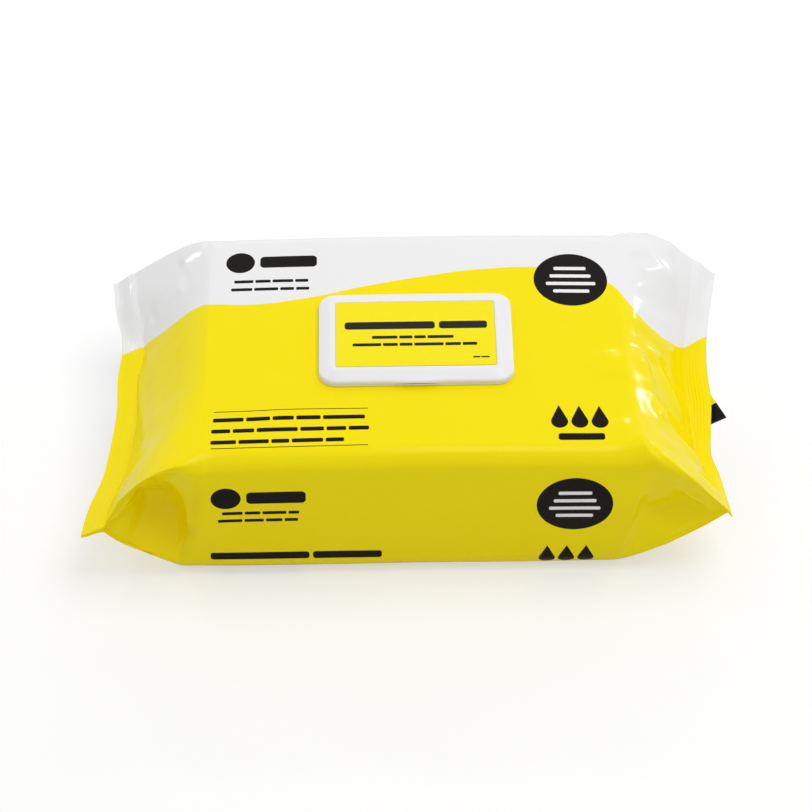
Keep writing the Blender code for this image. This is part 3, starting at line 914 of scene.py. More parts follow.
@dataclass
class FilmWrapper:
    """The film round the stack, in millimetres from the middle of the pack."""

    centre_x: float = 3.2
    body_length: float = 214.0
    front: float = 81.5
    back: float = 85.0
    front_height: float = 85.5
    back_height: float = 87.0
    crown: float = 1.5
    face_bulge: float = 1.0
    top_radius: float = 10.0
    low_radius: float = 13.0
    seal_radius: float = 0.25
    most_round: float = 0.45
    ridge_sharpness: float = 4.0
    low_sharpness: float = 2.6
    end_ease: float = 1.5
    tuck_lead: float = 0.75
    tuck_fullness: float = 0.8
    tuck_sharpness: float = 0.9
    cut_half: float = 0.3
    cut_thinning: float = 0.6
    seat_height: float = 87.6
    seat_margin: float = 4.0
    seat_blend: float = 34.0
    lid_size: tuple = (100.0, 64.0, 0.4)
    lid_hold: tuple = (1.0, 9.0)
    back_seal_y: float = -8.0
    back_seal_width: float = 18.0
    groove_width: float = 1.6
    groove_depth: float = 0.7
    groove_reach: float = 0.55
    crimp_pitch: float = 1.6
    crimp_run: float = 12.0
    crimp_height: float = 0.07
    crimp_start: float = 8.0
    sways: tuple = ((0.7, 13.0, 0.0), (0.4, 5.1, 1.0))
    sway_share: float = 0.5
    end_ripple: Ripple = Ripple(5, (45, 130), (11, 32))
    end_ripple_heights: tuple = (0.18, 0.34)
    end_ripple_start: float = 3.0
    end_ripple_fade: tuple = (0.6, 0.75, 4.0)
    body_ripple: Ripple = Ripple(8, (60, 160), (40, 90))
    body_ripple_height: float = 0.10
    flat_points: int = 106
    groove_points: int = 8
    corner_points: int = 8
    side_points: int = 50
    body_stations: int = 14
    end_stations: int = 84
    end_spacing: float = 1.05
    seal_stations: int = 30
    folds: tuple = ()
    points: np.ndarray = field(init=False, default=None)
    film_u: np.ndarray = field(init=False, default=None)
    film_v: np.ndarray = field(init=False, default=None)
    girth: float = field(init=False, default=0.0)

    def tips(self, end: PackEnd) -> tuple[float, float]:
        """Y of the front and back tips of an end's seal."""
        return -self.front - end.ear_front, self.back + end.ear_back

    def across(self, end: PackEnd, values: tuple, y: np.ndarray) -> np.ndarray:
        """Blend three values across an end.

        Args:
            end: The end of the pack.
            values: The front, middle and back value.
            y: Places across the pack.

        Returns:
            The value at each place.
        """
        front, middle, back = values
        tip_front, tip_back = self.tips(end)
        share = smooth(np.where(y < 0, y / tip_front, y / tip_back)) ** self.end_ease
        return middle + (np.where(y < 0, front, back) - middle) * share

    def cut_edge(self, end: PackEnd, y: np.ndarray) -> np.ndarray:
        """Find the cut edge by a cubic spline through its five places, with its swells.

        Args:
            end: The end of the pack.
            y: Places across the pack.

        Returns:
            Distance from the pack's middle to the cut edge at each place.
        """
        tip_front, tip_back = self.tips(end)
        ys = np.array([share * (tip_back if share > 0 else -tip_front) for share in end.edge_shares])
        xs = np.array(end.edge_reaches) + self.body_length / 2
        slopes = np.gradient(xs, ys)
        y = np.clip(y, ys[0], ys[-1])
        i = np.clip(np.searchsorted(ys, y) - 1, 0, len(ys) - 2)
        gap = ys[i + 1] - ys[i]
        t = (y - ys[i]) / gap
        value = (2 * t**3 - 3 * t**2 + 1) * xs[i] + (3 * t**2 - 2 * t**3) * xs[i + 1]
        for middle, half_width, swell in end.edge_swells:
            value = value + swell * np.exp(-(((y - middle) / half_width) ** 2))
        return value + ((t**3 - 2 * t**2 + t) * slopes[i] + (t**3 - t**2) * slopes[i + 1]) * gap

    def lid_distance(self, x: np.ndarray, y: np.ndarray) -> np.ndarray:
        """How far a place lies outside the lid's outline."""
        length, depth, lid_y = self.lid_size
        return np.maximum(np.maximum(np.abs(x) - length / 2, np.abs(y - lid_y) - depth / 2), 0.0)

    def top_height(self, x: np.ndarray, y: np.ndarray) -> np.ndarray:
        """Find the top film over the stack, flat where the lid frame is glued.

        Args:
            x: Places along the pack.
            y: Places across it.

        Returns:
            The film's height at each place.
        """
        share = (y + self.front) / (self.front + self.back)
        free = self.front_height + (self.back_height - self.front_height) * share
        free = free + self.crown * (1 - np.minimum(np.abs(2 * x / self.body_length), 1) ** 2)
        outside = np.maximum(self.lid_distance(x, y) - self.seat_margin, 0.0)
        return free + (self.seat_height - free) * (1 - smooth(outside / self.seat_blend))

    def groove(self, y: np.ndarray) -> np.ndarray:
        """Depth of the grooves that outline the folded back seal."""
        nearest = np.abs(np.abs(y - self.back_seal_y) - self.back_seal_width / 2)
        return self.groove_depth * smooth(1 - 2 * nearest / self.groove_width)

    def place(self, end: PackEnd, sigma: float, beyond: float, y: np.ndarray, height: np.ndarray) -> tuple:
        """X, and the film's top and bottom height, at each y and side height.

        Args:
            end: The end of the pack.
            sigma: From -1 at the middle by 0 at the body's end to 1 at the seal.
            beyond: From 0 to 1 over the seal.
            y: Places across the pack.
            height: Side heights, from -1 at the underside to 1 at the top.

        Returns:
            Three arrays.
        """
        over = max(sigma, 0.0)
        skew = (end.low_skew * (1 - height) + end.high_skew * (1 + height)) / 2
        start = self.body_length / 2 + np.where(y < 0, skew * smooth(-y / self.front) ** 2, 0.0)
        width = self.across(end, end.seal_widths, y)
        crimp = self.cut_edge(end, y) - width
        if sigma <= 0:
            x = start * (1 + sigma)
        else:
            x = start + (crimp - start) * sigma + width * beyond
        crimp_rise = self.across(end, end.crimp_rises, y)
        edge_rise = self.across(end, end.edge_rises, y)
        middle = self.back_height / 2 + crimp_rise + (edge_rise - crimp_rise) * smooth(beyond)
        half = self.across(end, end.seal_thicknesses, y) / 2
        half = half + (self.cut_half - half) * beyond * self.cut_thinning
        stack_top = self.top_height(np.minimum(x, self.body_length / 2), y)
        fall = over ** self.across(end, end.top_powers, y)
        rise = over ** self.across(end, end.bottom_powers, y)
        top = stack_top + (middle + half - stack_top) * fall
        bottom = (middle - half) * rise + self.groove(y) * (1 - over)
        return x, top, bottom

    def bottom_shares(self) -> np.ndarray:
        """Spread points across the underside, closer together at the two grooves.

        Returns:
            Their places, from -1 to 1 between the round edges.
        """
        half = (self.front + self.back) / 2 - self.low_radius
        middle = (self.back - self.front) / 2
        shares = [np.linspace(-1, 1, self.flat_points - 2 * self.groove_points)]
        near = np.linspace(-1, 1, self.groove_points) * self.groove_reach * self.groove_width / half
        for side in (-1, 1):
            groove = (self.back_seal_y + side * self.back_seal_width / 2 - middle) / half
            shares.append(groove + near)
        return np.sort(np.concatenate(shares))

    def section(self, end: PackEnd, sigma: float, beyond: float) -> np.ndarray:
        """Draw one closed loop round the wrapper.

        Args:
            end: The end of the pack.
            sigma: From -1 at the middle by 0 at the body's end to 1 at the seal.
            beyond: From 0 to 1 over the seal.

        Returns:
            The loop's points, from the underside by the front, the top and the back.
        """
        over = max(sigma, 0.0)
        share = float(smooth(np.array(over)))
        tip_front, tip_back = self.tips(end)
        y_front = -self.front + (tip_front + self.front) * share
        y_back = self.back + (tip_back - self.back) * share
        ridge, foot = (1 - over) ** self.ridge_sharpness, (1 - over) ** self.low_sharpness
        top_radius = self.seal_radius + (self.top_radius - self.seal_radius) * ridge
        low_radius = self.seal_radius + (self.low_radius - self.seal_radius) * foot
        swell = math.sin(math.pi * over**self.tuck_lead) ** self.tuck_fullness if over < 1 else 0.0

        def strip(shares: np.ndarray, radius: float, height: int) -> np.ndarray:
            """The top or the underside between its round edges."""
            y = (y_front + y_back) / 2 + ((y_back - y_front) / 2 - radius) * shares
            x, top, bottom = self.place(end, sigma, beyond, y, np.full_like(y, height))
            return np.stack([x, y, top if height > 0 else bottom], 1)

        def round_edge(y_edge: float, inward: int, height: int, angles: np.ndarray) -> np.ndarray:
            """Draw a rounded long edge between a side face and the top or underside.

            Args:
                y_edge: The side face's y.
                inward: The side of it that the pack lies on, 1 or -1.
                height: 1 for an edge of the top, -1 for one of the underside.
                angles: Steps round the edge, from the side face.

            Returns:
                The edge's points.
            """
            at = np.array([y_edge])
            x, top, bottom = self.place(end, sigma, beyond, at, np.array([float(height)]))
            radius = np.minimum(top_radius if height > 0 else low_radius, (top - bottom) * self.most_round)
            y = y_edge + inward * radius * (1 - np.cos(angles))
            drop = radius * (1 - np.sin(angles))
            return np.stack([x + 0 * y, y, top - drop if height > 0 else bottom + drop], 1)

        def side(y_edge: float, inward: int, depth: float, crease: float, heights: np.ndarray) -> np.ndarray:
            """Draw the front or back face, tucked in at the gusset.

            Args:
                y_edge: The face's y.
                inward: The side of it that the pack lies on, 1 or -1.
                depth: How deep the gusset is tucked in.
                crease: The side height of its crease.
                heights: Side heights of the points.

            Returns:
                The face's points.
            """
            x, top, bottom = self.place(end, sigma, beyond, np.full_like(heights, y_edge), heights)
            high = top - np.minimum(top_radius, (top - bottom) * self.most_round)
            low = bottom + np.minimum(low_radius, (top - bottom) * self.most_round)
            reach = np.where(heights > crease, 1 - crease, 1 + crease)
            tuck = (1 - np.abs(heights - crease) / reach) ** self.tuck_sharpness
            bulge = self.face_bulge * (1 - over) * (1 - heights**2)
            y = y_edge + inward * (depth * swell * tuck - bulge)
            return np.stack([x, y, low + (high - low) * (heights + 1) / 2], 1)

        angles = np.linspace(0, math.pi / 2, self.corner_points + 2)[1:-1]
        heights = np.linspace(-1, 1, self.side_points)
        flat = np.linspace(-1, 1, self.flat_points)
        loop = np.vstack([
            strip(self.bottom_shares()[::-1], low_radius, -1),
            round_edge(y_front, 1, -1, angles[::-1]),
            side(y_front, 1, end.tuck_front, end.crease_front, heights),
            round_edge(y_front, 1, 1, angles),
            strip(flat, top_radius, 1),
            round_edge(y_back, -1, 1, angles[::-1]),
            side(y_back, -1, end.tuck_back, 0.0, heights[::-1]),
            round_edge(y_back, -1, -1, angles),
        ])  # fmt: skip
        loop[:, 0] *= end.side
        return loop

    def stations(self) -> list[tuple[float, float]]:
        """Place the loops of one half, from the cut edge to the middle of the pack.

        Returns:
            Each loop's sigma and its share over the seal, as `section` takes them.
        """
        over_seal = [(1.0, float(t)) for t in np.linspace(1, 0, self.seal_stations + 1)[:-1]]
        over_end = [(float(t) ** self.end_spacing, 0.0) for t in np.linspace(1, 0, self.end_stations)]
        over_body = [(float(t), 0.0) for t in np.linspace(0, -1, self.body_stations + 1)[1:]]
        return over_seal + over_end + over_body

    def lay_out(self) -> None:
        """Work out the loops, and each point's place on the film's map."""
        places = self.stations()
        left = [self.section(LEFT_END, *place) for place in places]
        right = [self.section(RIGHT_END, *place) for place in places]
        self.points = np.array(left + right[::-1][1:])
        middle = len(places) - 1
        steps = np.linalg.norm(np.diff(self.points, axis=0), axis=2)
        path = np.vstack([np.zeros(steps.shape[1]), np.cumsum(steps, axis=0)])
        self.film_u = path - path[middle]
        ring = self.points[middle][:, 1:]
        around = np.concatenate([[0], np.cumsum(np.linalg.norm(np.diff(ring, axis=0), axis=1))])
        start = self.flat_points + 2 * self.corner_points + self.side_points
        top = slice(start, start + self.flat_points)
        self.film_v = around - np.interp(0.0, ring[top, 0], around[top])
        self.girth = float(around[-1] + np.linalg.norm(ring[0] - ring[-1]))

    def normals(self) -> np.ndarray:
        """Work out which way each point of the grid faces.

        Returns:
            A row of unit vectors for each loop.
        """
        along = np.gradient(self.points, axis=0)
        around = np.roll(self.points, -1, axis=1) - np.roll(self.points, 1, axis=1)
        normal = np.cross(along, around)
        return normal / np.maximum(np.linalg.norm(normal, axis=2, keepdims=True), 1e-9)

    def loop_shares(self) -> tuple[np.ndarray, np.ndarray]:
        """How far each loop is over a seal, and over an end of the body, from 0 to 1.

        Returns:
            Two columns, with a row for each loop.
        """
        half = self.stations()
        whole = half + half[::-1][1:]
        sigma, seal = np.array(whole).T[:, :, None]
        return seal, np.maximum(sigma, 0.0)

    def wrinkle(self) -> None:
        """Press the crimps into the seals and pull soft folds into the film."""
        seal, over = self.loop_shares()
        u, v = self.film_u, np.broadcast_to(self.film_v, self.film_u.shape)
        x, y = self.points[..., 0], self.points[..., 1]
        loss, start, rate = self.end_ripple_fade
        in_end = smooth(over * self.end_ripple_start) * (1 - loss * smooth((over - start) * rate))
        in_seal = smooth(seal * self.crimp_start)
        fold = in_end * np.where(u < 0, *self.end_ripple_heights) * self.end_ripple.rise(u, v)
        fold += (1 - over) * self.body_ripple_height * self.body_ripple.rise(u, v) * (seal == 0)
        for one in self.folds:
            fold += one.rise(u, v)
        margin, blend = self.lid_hold
        free = smooth((self.lid_distance(x, y) - margin) / blend)
        fold *= np.where(np.abs(v) < self.front, free, 1.0) * (1 - in_seal)
        self.points = self.points + self.normals() * fold[..., None]
        ribs = self.crimp_height * np.sin(2 * math.pi * seal * self.crimp_run / self.crimp_pitch)
        sway = sum(size * np.sin(self.points[..., 1] / wave + turn) for size, wave, turn in self.sways)
        self.points[..., 2] += in_seal * (ribs + self.sway_share * seal * sway)
        self.points[..., 2] = np.maximum(self.points[..., 2], 0.0)

    def cap(self, row: int, reverse: bool) -> list[list[int]]:
        """Close a cut edge, between the film's upper and lower layer.

        Args:
            row: The loop at that edge.
            reverse: Turn the faces over.

        Returns:
            The faces, as rows of point numbers.
        """
        columns = self.points.shape[1]
        back_middle = columns - self.corner_points - self.side_points // 2
        faces = []
        for k in range(columns // 2 - 1):
            low = [(back_middle + k) % columns, (back_middle + k + 1) % columns]
            high = [(back_middle - 1 - k) % columns, (back_middle - 2 - k) % columns]
            face = [row * columns + n for n in (low[0], low[1], high[1], high[0])]
            faces.append(face[::-1] if reverse else face)
        return faces

    def map_film(self, obj: Piece, quads: np.ndarray) -> None:
        """Lay the film's map on the wrapper, with its join at the first column.

        Args:
            obj: The wrapper.
            quads: Its faces apart from the caps, which come after them.
        """
        rows, columns = self.points.shape[:2]
        layer = obj.data.uv_layers.new(name=FILM_MAP)
        u, v = self.film_u.reshape(-1), np.tile(self.film_v, rows)
        corners = np.empty(len(obj.data.loops), dtype=np.int32)
        obj.data.loops.foreach_get("vertex_index", corners)
        film = np.stack([u[corners], v[corners]], 1)
        column = corners[: quads.size].reshape(-1, 4) % columns
        closing = (np.ptp(column, axis=1) > 1)[:, None] & (column == 0)
        film[: quads.size, 1] += self.girth * closing.ravel()
        layer.data.foreach_set("uv", (film * MM).astype(np.float32).ravel())

    def build(self) -> Piece:
        """Make the wrapper's mesh, with its film map.

        Returns:
            The wrapper, which stands for its CAD node.
        """
        self.lay_out()
        self.wrinkle()
        rows, columns = self.points.shape[:2]
        quads = grid_faces(rows, columns, False)
        faces = quads.tolist() + self.cap(0, False) + self.cap(rows - 1, True)
        obj = mesh_object("film_wrapper", (self.points + (self.centre_x, 0, 0)) * MM, faces)
        self.map_film(obj, quads)
        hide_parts("film_pack")
        return obj

    def front_offset(self) -> float:
        """Find what is added to a height on the front face to get the film's v.

        Returns:
            The offset in metres.
        """
        middle = len(self.stations()) - 1
        k = self.flat_points + self.corner_points + self.side_points // 2
        return float(self.film_v[k] - self.points[middle, k, 2]) * MM

    def back_seal_v(self) -> float:
        """Find the back seal on the film's map.

        Returns:
            The v of the seal's middle, in metres.
        """
        middle = len(self.stations()) - 1
        y = self.points[middle, : self.flat_points, 1]
        return float(np.interp(-self.back_seal_y, -y, self.film_v[: self.flat_points])) * MM

    def dress(self, film: Piece) -> None:
        """Print the film, which rides on the pack."""
        finish = FilmPrint(self.front_offset(), self.back_seal_v())
        dress_piece(film, finish.material(), PACK_BODY)


@dataclass
class SealTail:
    """The end of the back seal that sticks out past the right end seal, in millimetres."""

    wrapper: FilmWrapper
    length: float = 26.0
    width: float = 18.0
    thickness: float = 0.45
    overhang: float = 4.5
    shift: float = 3.3
    drop: float = 6.5
    slope: float = math.radians(9)
    turn: float = math.radians(22)
    curl: float = 0.9
    steps: int = 26
    columns: int = 18

    def tip_place(self) -> Vector:
        """Find where the tail ends.

        Returns:
            The middle of its end, in the pack's frame.
        """
        y = self.wrapper.back_seal_y + self.shift
        edge = float(self.wrapper.cut_edge(RIGHT_END, np.array([y]))[0])
        height = self.wrapper.back_height / 2 + RIGHT_END.edge_rises[1] - self.drop
        return Vector((edge + self.overhang + self.wrapper.centre_x, y, height))

    def build(self) -> Piece:
        """Make the strip, a little curled along its length.

        Returns:
            The tail, with its own map.
        """
        turned = Matrix.Rotation(self.turn, 3, "Z") @ Matrix.Rotation(-self.slope, 3, "Y")
        across = np.linspace(-1, 1, self.columns) * self.width / 2
        loops, film = [], []
        for s in np.linspace(-self.length, 0, self.steps):
            sag = self.curl * math.sin(s / self.length * math.pi)
            top = [(s, t, self.thickness / 2 + sag * (1 - (2 * t / self.width) ** 2)) for t in across]
            low = [(s, t, z - self.thickness) for _, t, z in top[::-1]]
            loops += top + low
            film += [(s, t) for _, t, _ in top + low]
        place = self.tip_place()
        points = np.array([turned @ Vector(p) + place for p in loops]) * MM
        faces = grid_faces(self.steps, 2 * self.columns, False)[:, ::-1].tolist()
        first, last = end_faces(self.steps, 2 * self.columns)
        obj = mesh_object("seal_tail", points, faces + [first, last[::-1]])
        layer = obj.data.uv_layers.new(name=FILM_MAP)
        for loop in obj.data.loops:
            layer.data[loop.index].uv = [c * MM for c in film[loop.vertex_index]]
        return obj

    def dress(self, tail: Piece) -> None:
        """Print the tail, which rides on the pack."""
        dress_piece(tail, TailPrint().material(), PACK_BODY)


@dataclass
class FlipLid:
    """The moulded frame, its cover and the thin hinge between them, in millimetres.

    Places on the edge of the label's recess and on the cover's rim are given by how far
    in or out they lie and how far down or up.
    """

    x: float = 3.2
    y: float = 0.4
    length: float = 100.0
    depth: float = 64.0
    corner: float = 9.0
    least_corner: float = 1.2
    corner_shrink: float = 0.7
    clearance: float = 0.3
    seat: float = 87.6
    frame_thickness: float = 0.9
    frame_rounding: float = 0.35
    mouth: tuple = (64.0, 36.0, 14.0)
    collar_wall: float = 1.5
    collar_height: float = 2.4
    hinge_length: float = 44.0
    hinge_end_gap: float = 1.0
    hinge_radius: float = 0.42
    hinge_thickness: float = 0.12
    hinge_flatness: float = 0.7
    hinge_reach: float = 0.3
    lip_depth: float = 1.2
    lip_thickness: float = 0.6
    lip_rounding: float = 0.12
    lip_steps: int = 3
    cover_height: float = 4.5
    wall: float = 0.8
    border: float = 7.5
    slope_foot: float = 2.0
    slope_width: float = 5.9
    slope_rounding: tuple = (1.2, 0.8)
    inner_start: float = 0.2
    outer_start: float = 0.3
    inner_rim: tuple = (0.12, 0.04)
    outer_rim: tuple = ((0.2, 0.0), (0.05, 0.08))
    label: tuple = (82.5, 47.3, 1.45)
    recess: float = 0.5
    recess_edge: tuple = ((0.25, 0.0), (0.1, 0.03), (0.02, 0.1), (0.0, 0.2))
    thumb_length: float = 25.0
    thumb_depth: float = 1.2
    thumb_bulge: float = 0.6
    thumb_fade: float = 1.25
    thumb_reach: float = 7.0
    front_reach: float = 6.0
    corner_points: int = 14
    edge_points: int = 40
    border_steps: int = 8
    edge_steps: int = 4
    collar_steps: int = 8
    hinge_stations: int = 45
    hinge_steps: int = 12

    @property
    def frame_top(self) -> float:
        """Height of the frame's flat top."""
        return self.seat + self.clearance + self.frame_thickness

    @property
    def rim(self) -> float:
        """Height of the cover's rim when it is shut."""
        return self.frame_top + self.clearance

    @property
    def axis(self) -> tuple[float, float, float]:
        """The middle of the hinge line."""
        y = self.y + self.depth / 2 + self.lip_depth
        return self.x, y, self.frame_top + self.clearance / 2

    def ring(self, half_x: float, half_y: float, corner: float, z: float) -> np.ndarray:
        """A loop of the lid at a height, in the pack's frame."""
        plan = rounded_rectangle(half_x, half_y, corner, self.corner_points, self.edge_points)
        return np.column_stack([plan[:, 0] + self.x, plan[:, 1] + self.y, np.full(len(plan), z)])

    def inset_ring(self, inset: float, z: float) -> np.ndarray:
        """A loop of the outline moved in by the inset."""
        corner = max(self.corner - inset * self.corner_shrink, self.least_corner)
        return self.ring(self.length / 2 - inset, self.depth / 2 - inset, corner, z)

    def lip(self, name: str, low: float, high: float) -> Piece:
        """Make a hinge lip behind the lid, with rounded long edges.

        Args:
            name: The lip's name.
            low: Height of its underside.
            high: Height of its top.

        Returns:
            The lip.
        """
        depth = self.lip_depth + self.wall / 2
        bpy.ops.mesh.primitive_cube_add(size=1.0)
        obj = bpy.context.object
        obj.name = name
        middle_y = self.y + self.depth / 2 + (self.lip_depth - self.wall / 2) / 2
        obj.data.transform(Matrix.Diagonal((self.hinge_length * MM, depth * MM, (high - low) * MM, 1)))
        obj.data.transform(Matrix.Translation(Vector((self.x, middle_y, (low + high) / 2)) * MM))
        bevel = obj.modifiers.new("round", "BEVEL")
        bevel.width, bevel.segments = self.lip_rounding * MM, self.lip_steps
        return obj

    def join(self, obj: Piece, other: Piece) -> None:
        """Unite a piece with another and keep only the first.

        Args:
            obj: The piece that is kept.
            other: The one that goes into it.
        """
        modifier = obj.modifiers.new("join", "BOOLEAN")
        modifier.operation, modifier.solver, modifier.object = "UNION", "EXACT", other
        bpy.context.view_layer.update()
        graph = bpy.context.evaluated_depsgraph_get()
        joined = bpy.data.meshes.new_from_object(obj.evaluated_get(graph))
        obj.modifiers.clear()
        obj.data = joined
        bpy.data.objects.remove(other)
        obj.data.shade_smooth()
        obj.data.set_sharp_from_angle(angle=SHARP_ANGLE)

    def build_frame(self) -> Piece:
        """Make the glued frame with its mouth and collar.

        Returns:
            The frame, which stands for its CAD node.
        """
        low, top = self.seat + self.clearance, self.frame_top
        half_x, half_y = self.length / 2, self.depth / 2
        mouth_x, mouth_y, mouth_corner = self.mouth[0] / 2, self.mouth[1] / 2, self.mouth[2]
        wall, high, soft = self.collar_wall, top + self.collar_height, self.frame_rounding
        quarter = np.linspace(0, math.pi / 2, self.edge_steps + 1)
        rings = [self.ring(half_x, half_y, self.corner, z) for z in (low, top - soft)]
        for a in quarter[1:]:
            inset, z = soft * (1 - math.cos(a)), top - soft + soft * math.sin(a)
            rings.append(self.ring(half_x - inset, half_y - inset, self.corner - inset, z))
        steps = [(wall + soft * (1 - math.sin(a)), top + soft * (1 - math.cos(a))) for a in quarter]
        for a in np.linspace(0, math.pi, self.collar_steps + 1):
            steps.append((wall / 2 * (1 + math.cos(a)), high + wall / 2 * (math.sin(a) - 1)))
        steps.append((0.0, low))
        for out, z in steps:
            rings.append(self.ring(mouth_x + out, mouth_y + out, mouth_corner + out, z))
        faces = grid_faces(len(rings), len(rings[0]), True).tolist()
        obj = mesh_object("lid_frame_moulding", np.vstack(rings) * MM, faces)
        self.join(obj, self.lip("frame_lip", top - self.lip_thickness, top))
        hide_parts("lid_frame")
        return obj

    def border_profile(self) -> list:
        """Draw the cover's border, from under its recess round the rim to its top.

        Returns:
            How far in from the outline and how far over the rim each place is.
        """
        full = self.cover_height
        room = full - self.recess - self.wall
        slope = (full - self.slope_foot) / self.slope_width
        sink = self.wall * math.hypot(1, slope)
        inner_foot = self.slope_foot + slope * self.wall - sink
        inner_inset = (room - self.slope_foot + sink) / slope
        start = (self.wall, self.inner_start)
        inner = ((self.border, room), (inner_inset, room), (self.wall, inner_foot), start)
        foot = ((0.0, self.outer_start), (0.0, self.slope_foot))
        outer = (*foot, (self.slope_width, full), (self.border, full))
        profile = rounded_path(inner, self.slope_rounding[::-1], self.border_steps)
        profile += [(self.wall - self.inner_rim[0], self.inner_rim[1]), *self.outer_rim]
        return profile + rounded_path(outer, self.slope_rounding, self.border_steps)

    def notch(self, rings: list[np.ndarray]) -> np.ndarray:
        """Lift the front rim into an arch for the thumb, with a soft bulge over it.

        Args:
            rings: The cover's loops.

        Returns:
            All their points, moved.
        """
        points = np.vstack(rings)
        across = (points[:, 0] - self.x) / (self.thumb_length / 2)
        depth_in = points[:, 1] - (self.y - self.depth / 2)
        front = depth_in < self.front_reach
        arch = self.rim + self.thumb_depth * np.clip(1 - across**2, 0, 1)
        points[:, 2] = np.where(front, np.maximum(points[:, 2], arch), points[:, 2])
        fade = smooth(self.thumb_fade - np.abs(across)) * smooth(1 - depth_in / self.thumb_reach)
        points[:, 1] -= np.where(front, self.thumb_bulge * fade, 0.0)
        return points

    def build_cover(self) -> Piece:
        """Make the white cap, with a sloping border, a recess and a thumb notch.

        Returns:
            The cover, which stands for its CAD node.
        """
        border = self.border_profile()
        rings = [self.inset_ring(float(inset), self.rim + float(rise)) for inset, rise in border]
        half_x, half_y, corner = self.label[0] / 2, self.label[1] / 2, self.label[2]
        top = self.rim + self.cover_height
        for out, drop in (*self.recess_edge, (0.0, self.recess)):
            rings.append(self.ring(half_x + out, half_y + out, corner + out, top - drop))
        columns = len(rings[0])
        faces = grid_faces(len(rings), columns, False).tolist()
        first, last = end_faces(len(rings), columns)
        obj = mesh_object("lid_cover_moulding", self.notch(rings) * MM, faces + [first, last[::-1]])
        self.join(obj, self.lip("cover_lip", self.rim, self.rim + self.lip_thickness))
        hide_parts("lid_cover")
        return obj

    def build_hinge(self) -> Piece:
        """Make the thin living hinge: a narrow band bent round the hinge line.

        Returns:
            The band.
        """
        _, axis_y, axis_z = self.axis
        inner = self.hinge_radius - self.hinge_thickness
        angles = np.linspace(-math.pi / 2, math.pi / 2, self.hinge_steps + 1)
        bend = [(self.hinge_radius, a) for a in angles] + [(inner, a) for a in angles[::-1]]
        reach = self.hinge_length / 2 - self.hinge_end_gap
        loops = []
        for x in np.linspace(-1, 1, self.hinge_stations) * reach + self.x:
            for radius, a in bend:
                y = axis_y + radius * math.cos(a) * self.hinge_flatness
                loops.append((x, y, axis_z + radius * math.sin(a)))
        faces = grid_faces(self.hinge_stations, len(bend), False).tolist()
        first, last = end_faces(self.hinge_stations, len(bend))
        return mesh_object("living_hinge", np.array(loops) * MM, faces + [first[::-1], last])

    def dress(self, moulding: Piece, cover: Piece, hinge: Piece) -> None:
        """Finish the moulded pieces, and put the frame and the cover each on the body that it moves with.

        Args:
            moulding: The frame, which rides on the pack.
            cover: The cover, which rides on the lid.
            hinge: The band between them, which only gets the finish and stays where it is drawn.
        """
        plastic = WhitePlastic().material()
        dress_piece(moulding, plastic, PACK_BODY)
        dress_piece(cover, plastic, LID_BODY)
        put_on(hinge, plastic)
        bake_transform(hinge)


@dataclass(frozen=True)
class LidStickers:
    """The lid's label and the peel-off seal, which keep their CAD shapes."""

    label_node: str = "lid_label"
    seal_node: str = "peel_seal"

    def dress(self) -> list[Piece]:
        """Finish both stickers.

        Returns:
            The label and the seal.
        """
        label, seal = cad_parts[self.label_node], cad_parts[self.seal_node]
        low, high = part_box(self.label_node)
        middle = (low + high) / 2
        put_on(label, LabelPrint((middle.x, middle.y, 0.0)).material())
        put_on(seal, SealFilm().material())
        return [label, seal]


@dataclass(frozen=True)
class Lamp:
    """A square lamp: the way to it, its distance and side in metres, and its level.

    The level is the light that it gives a surface facing it, where 1 is a full white.
    """

    name: str
    direction: tuple
    distance: float
    size: float
    level: float


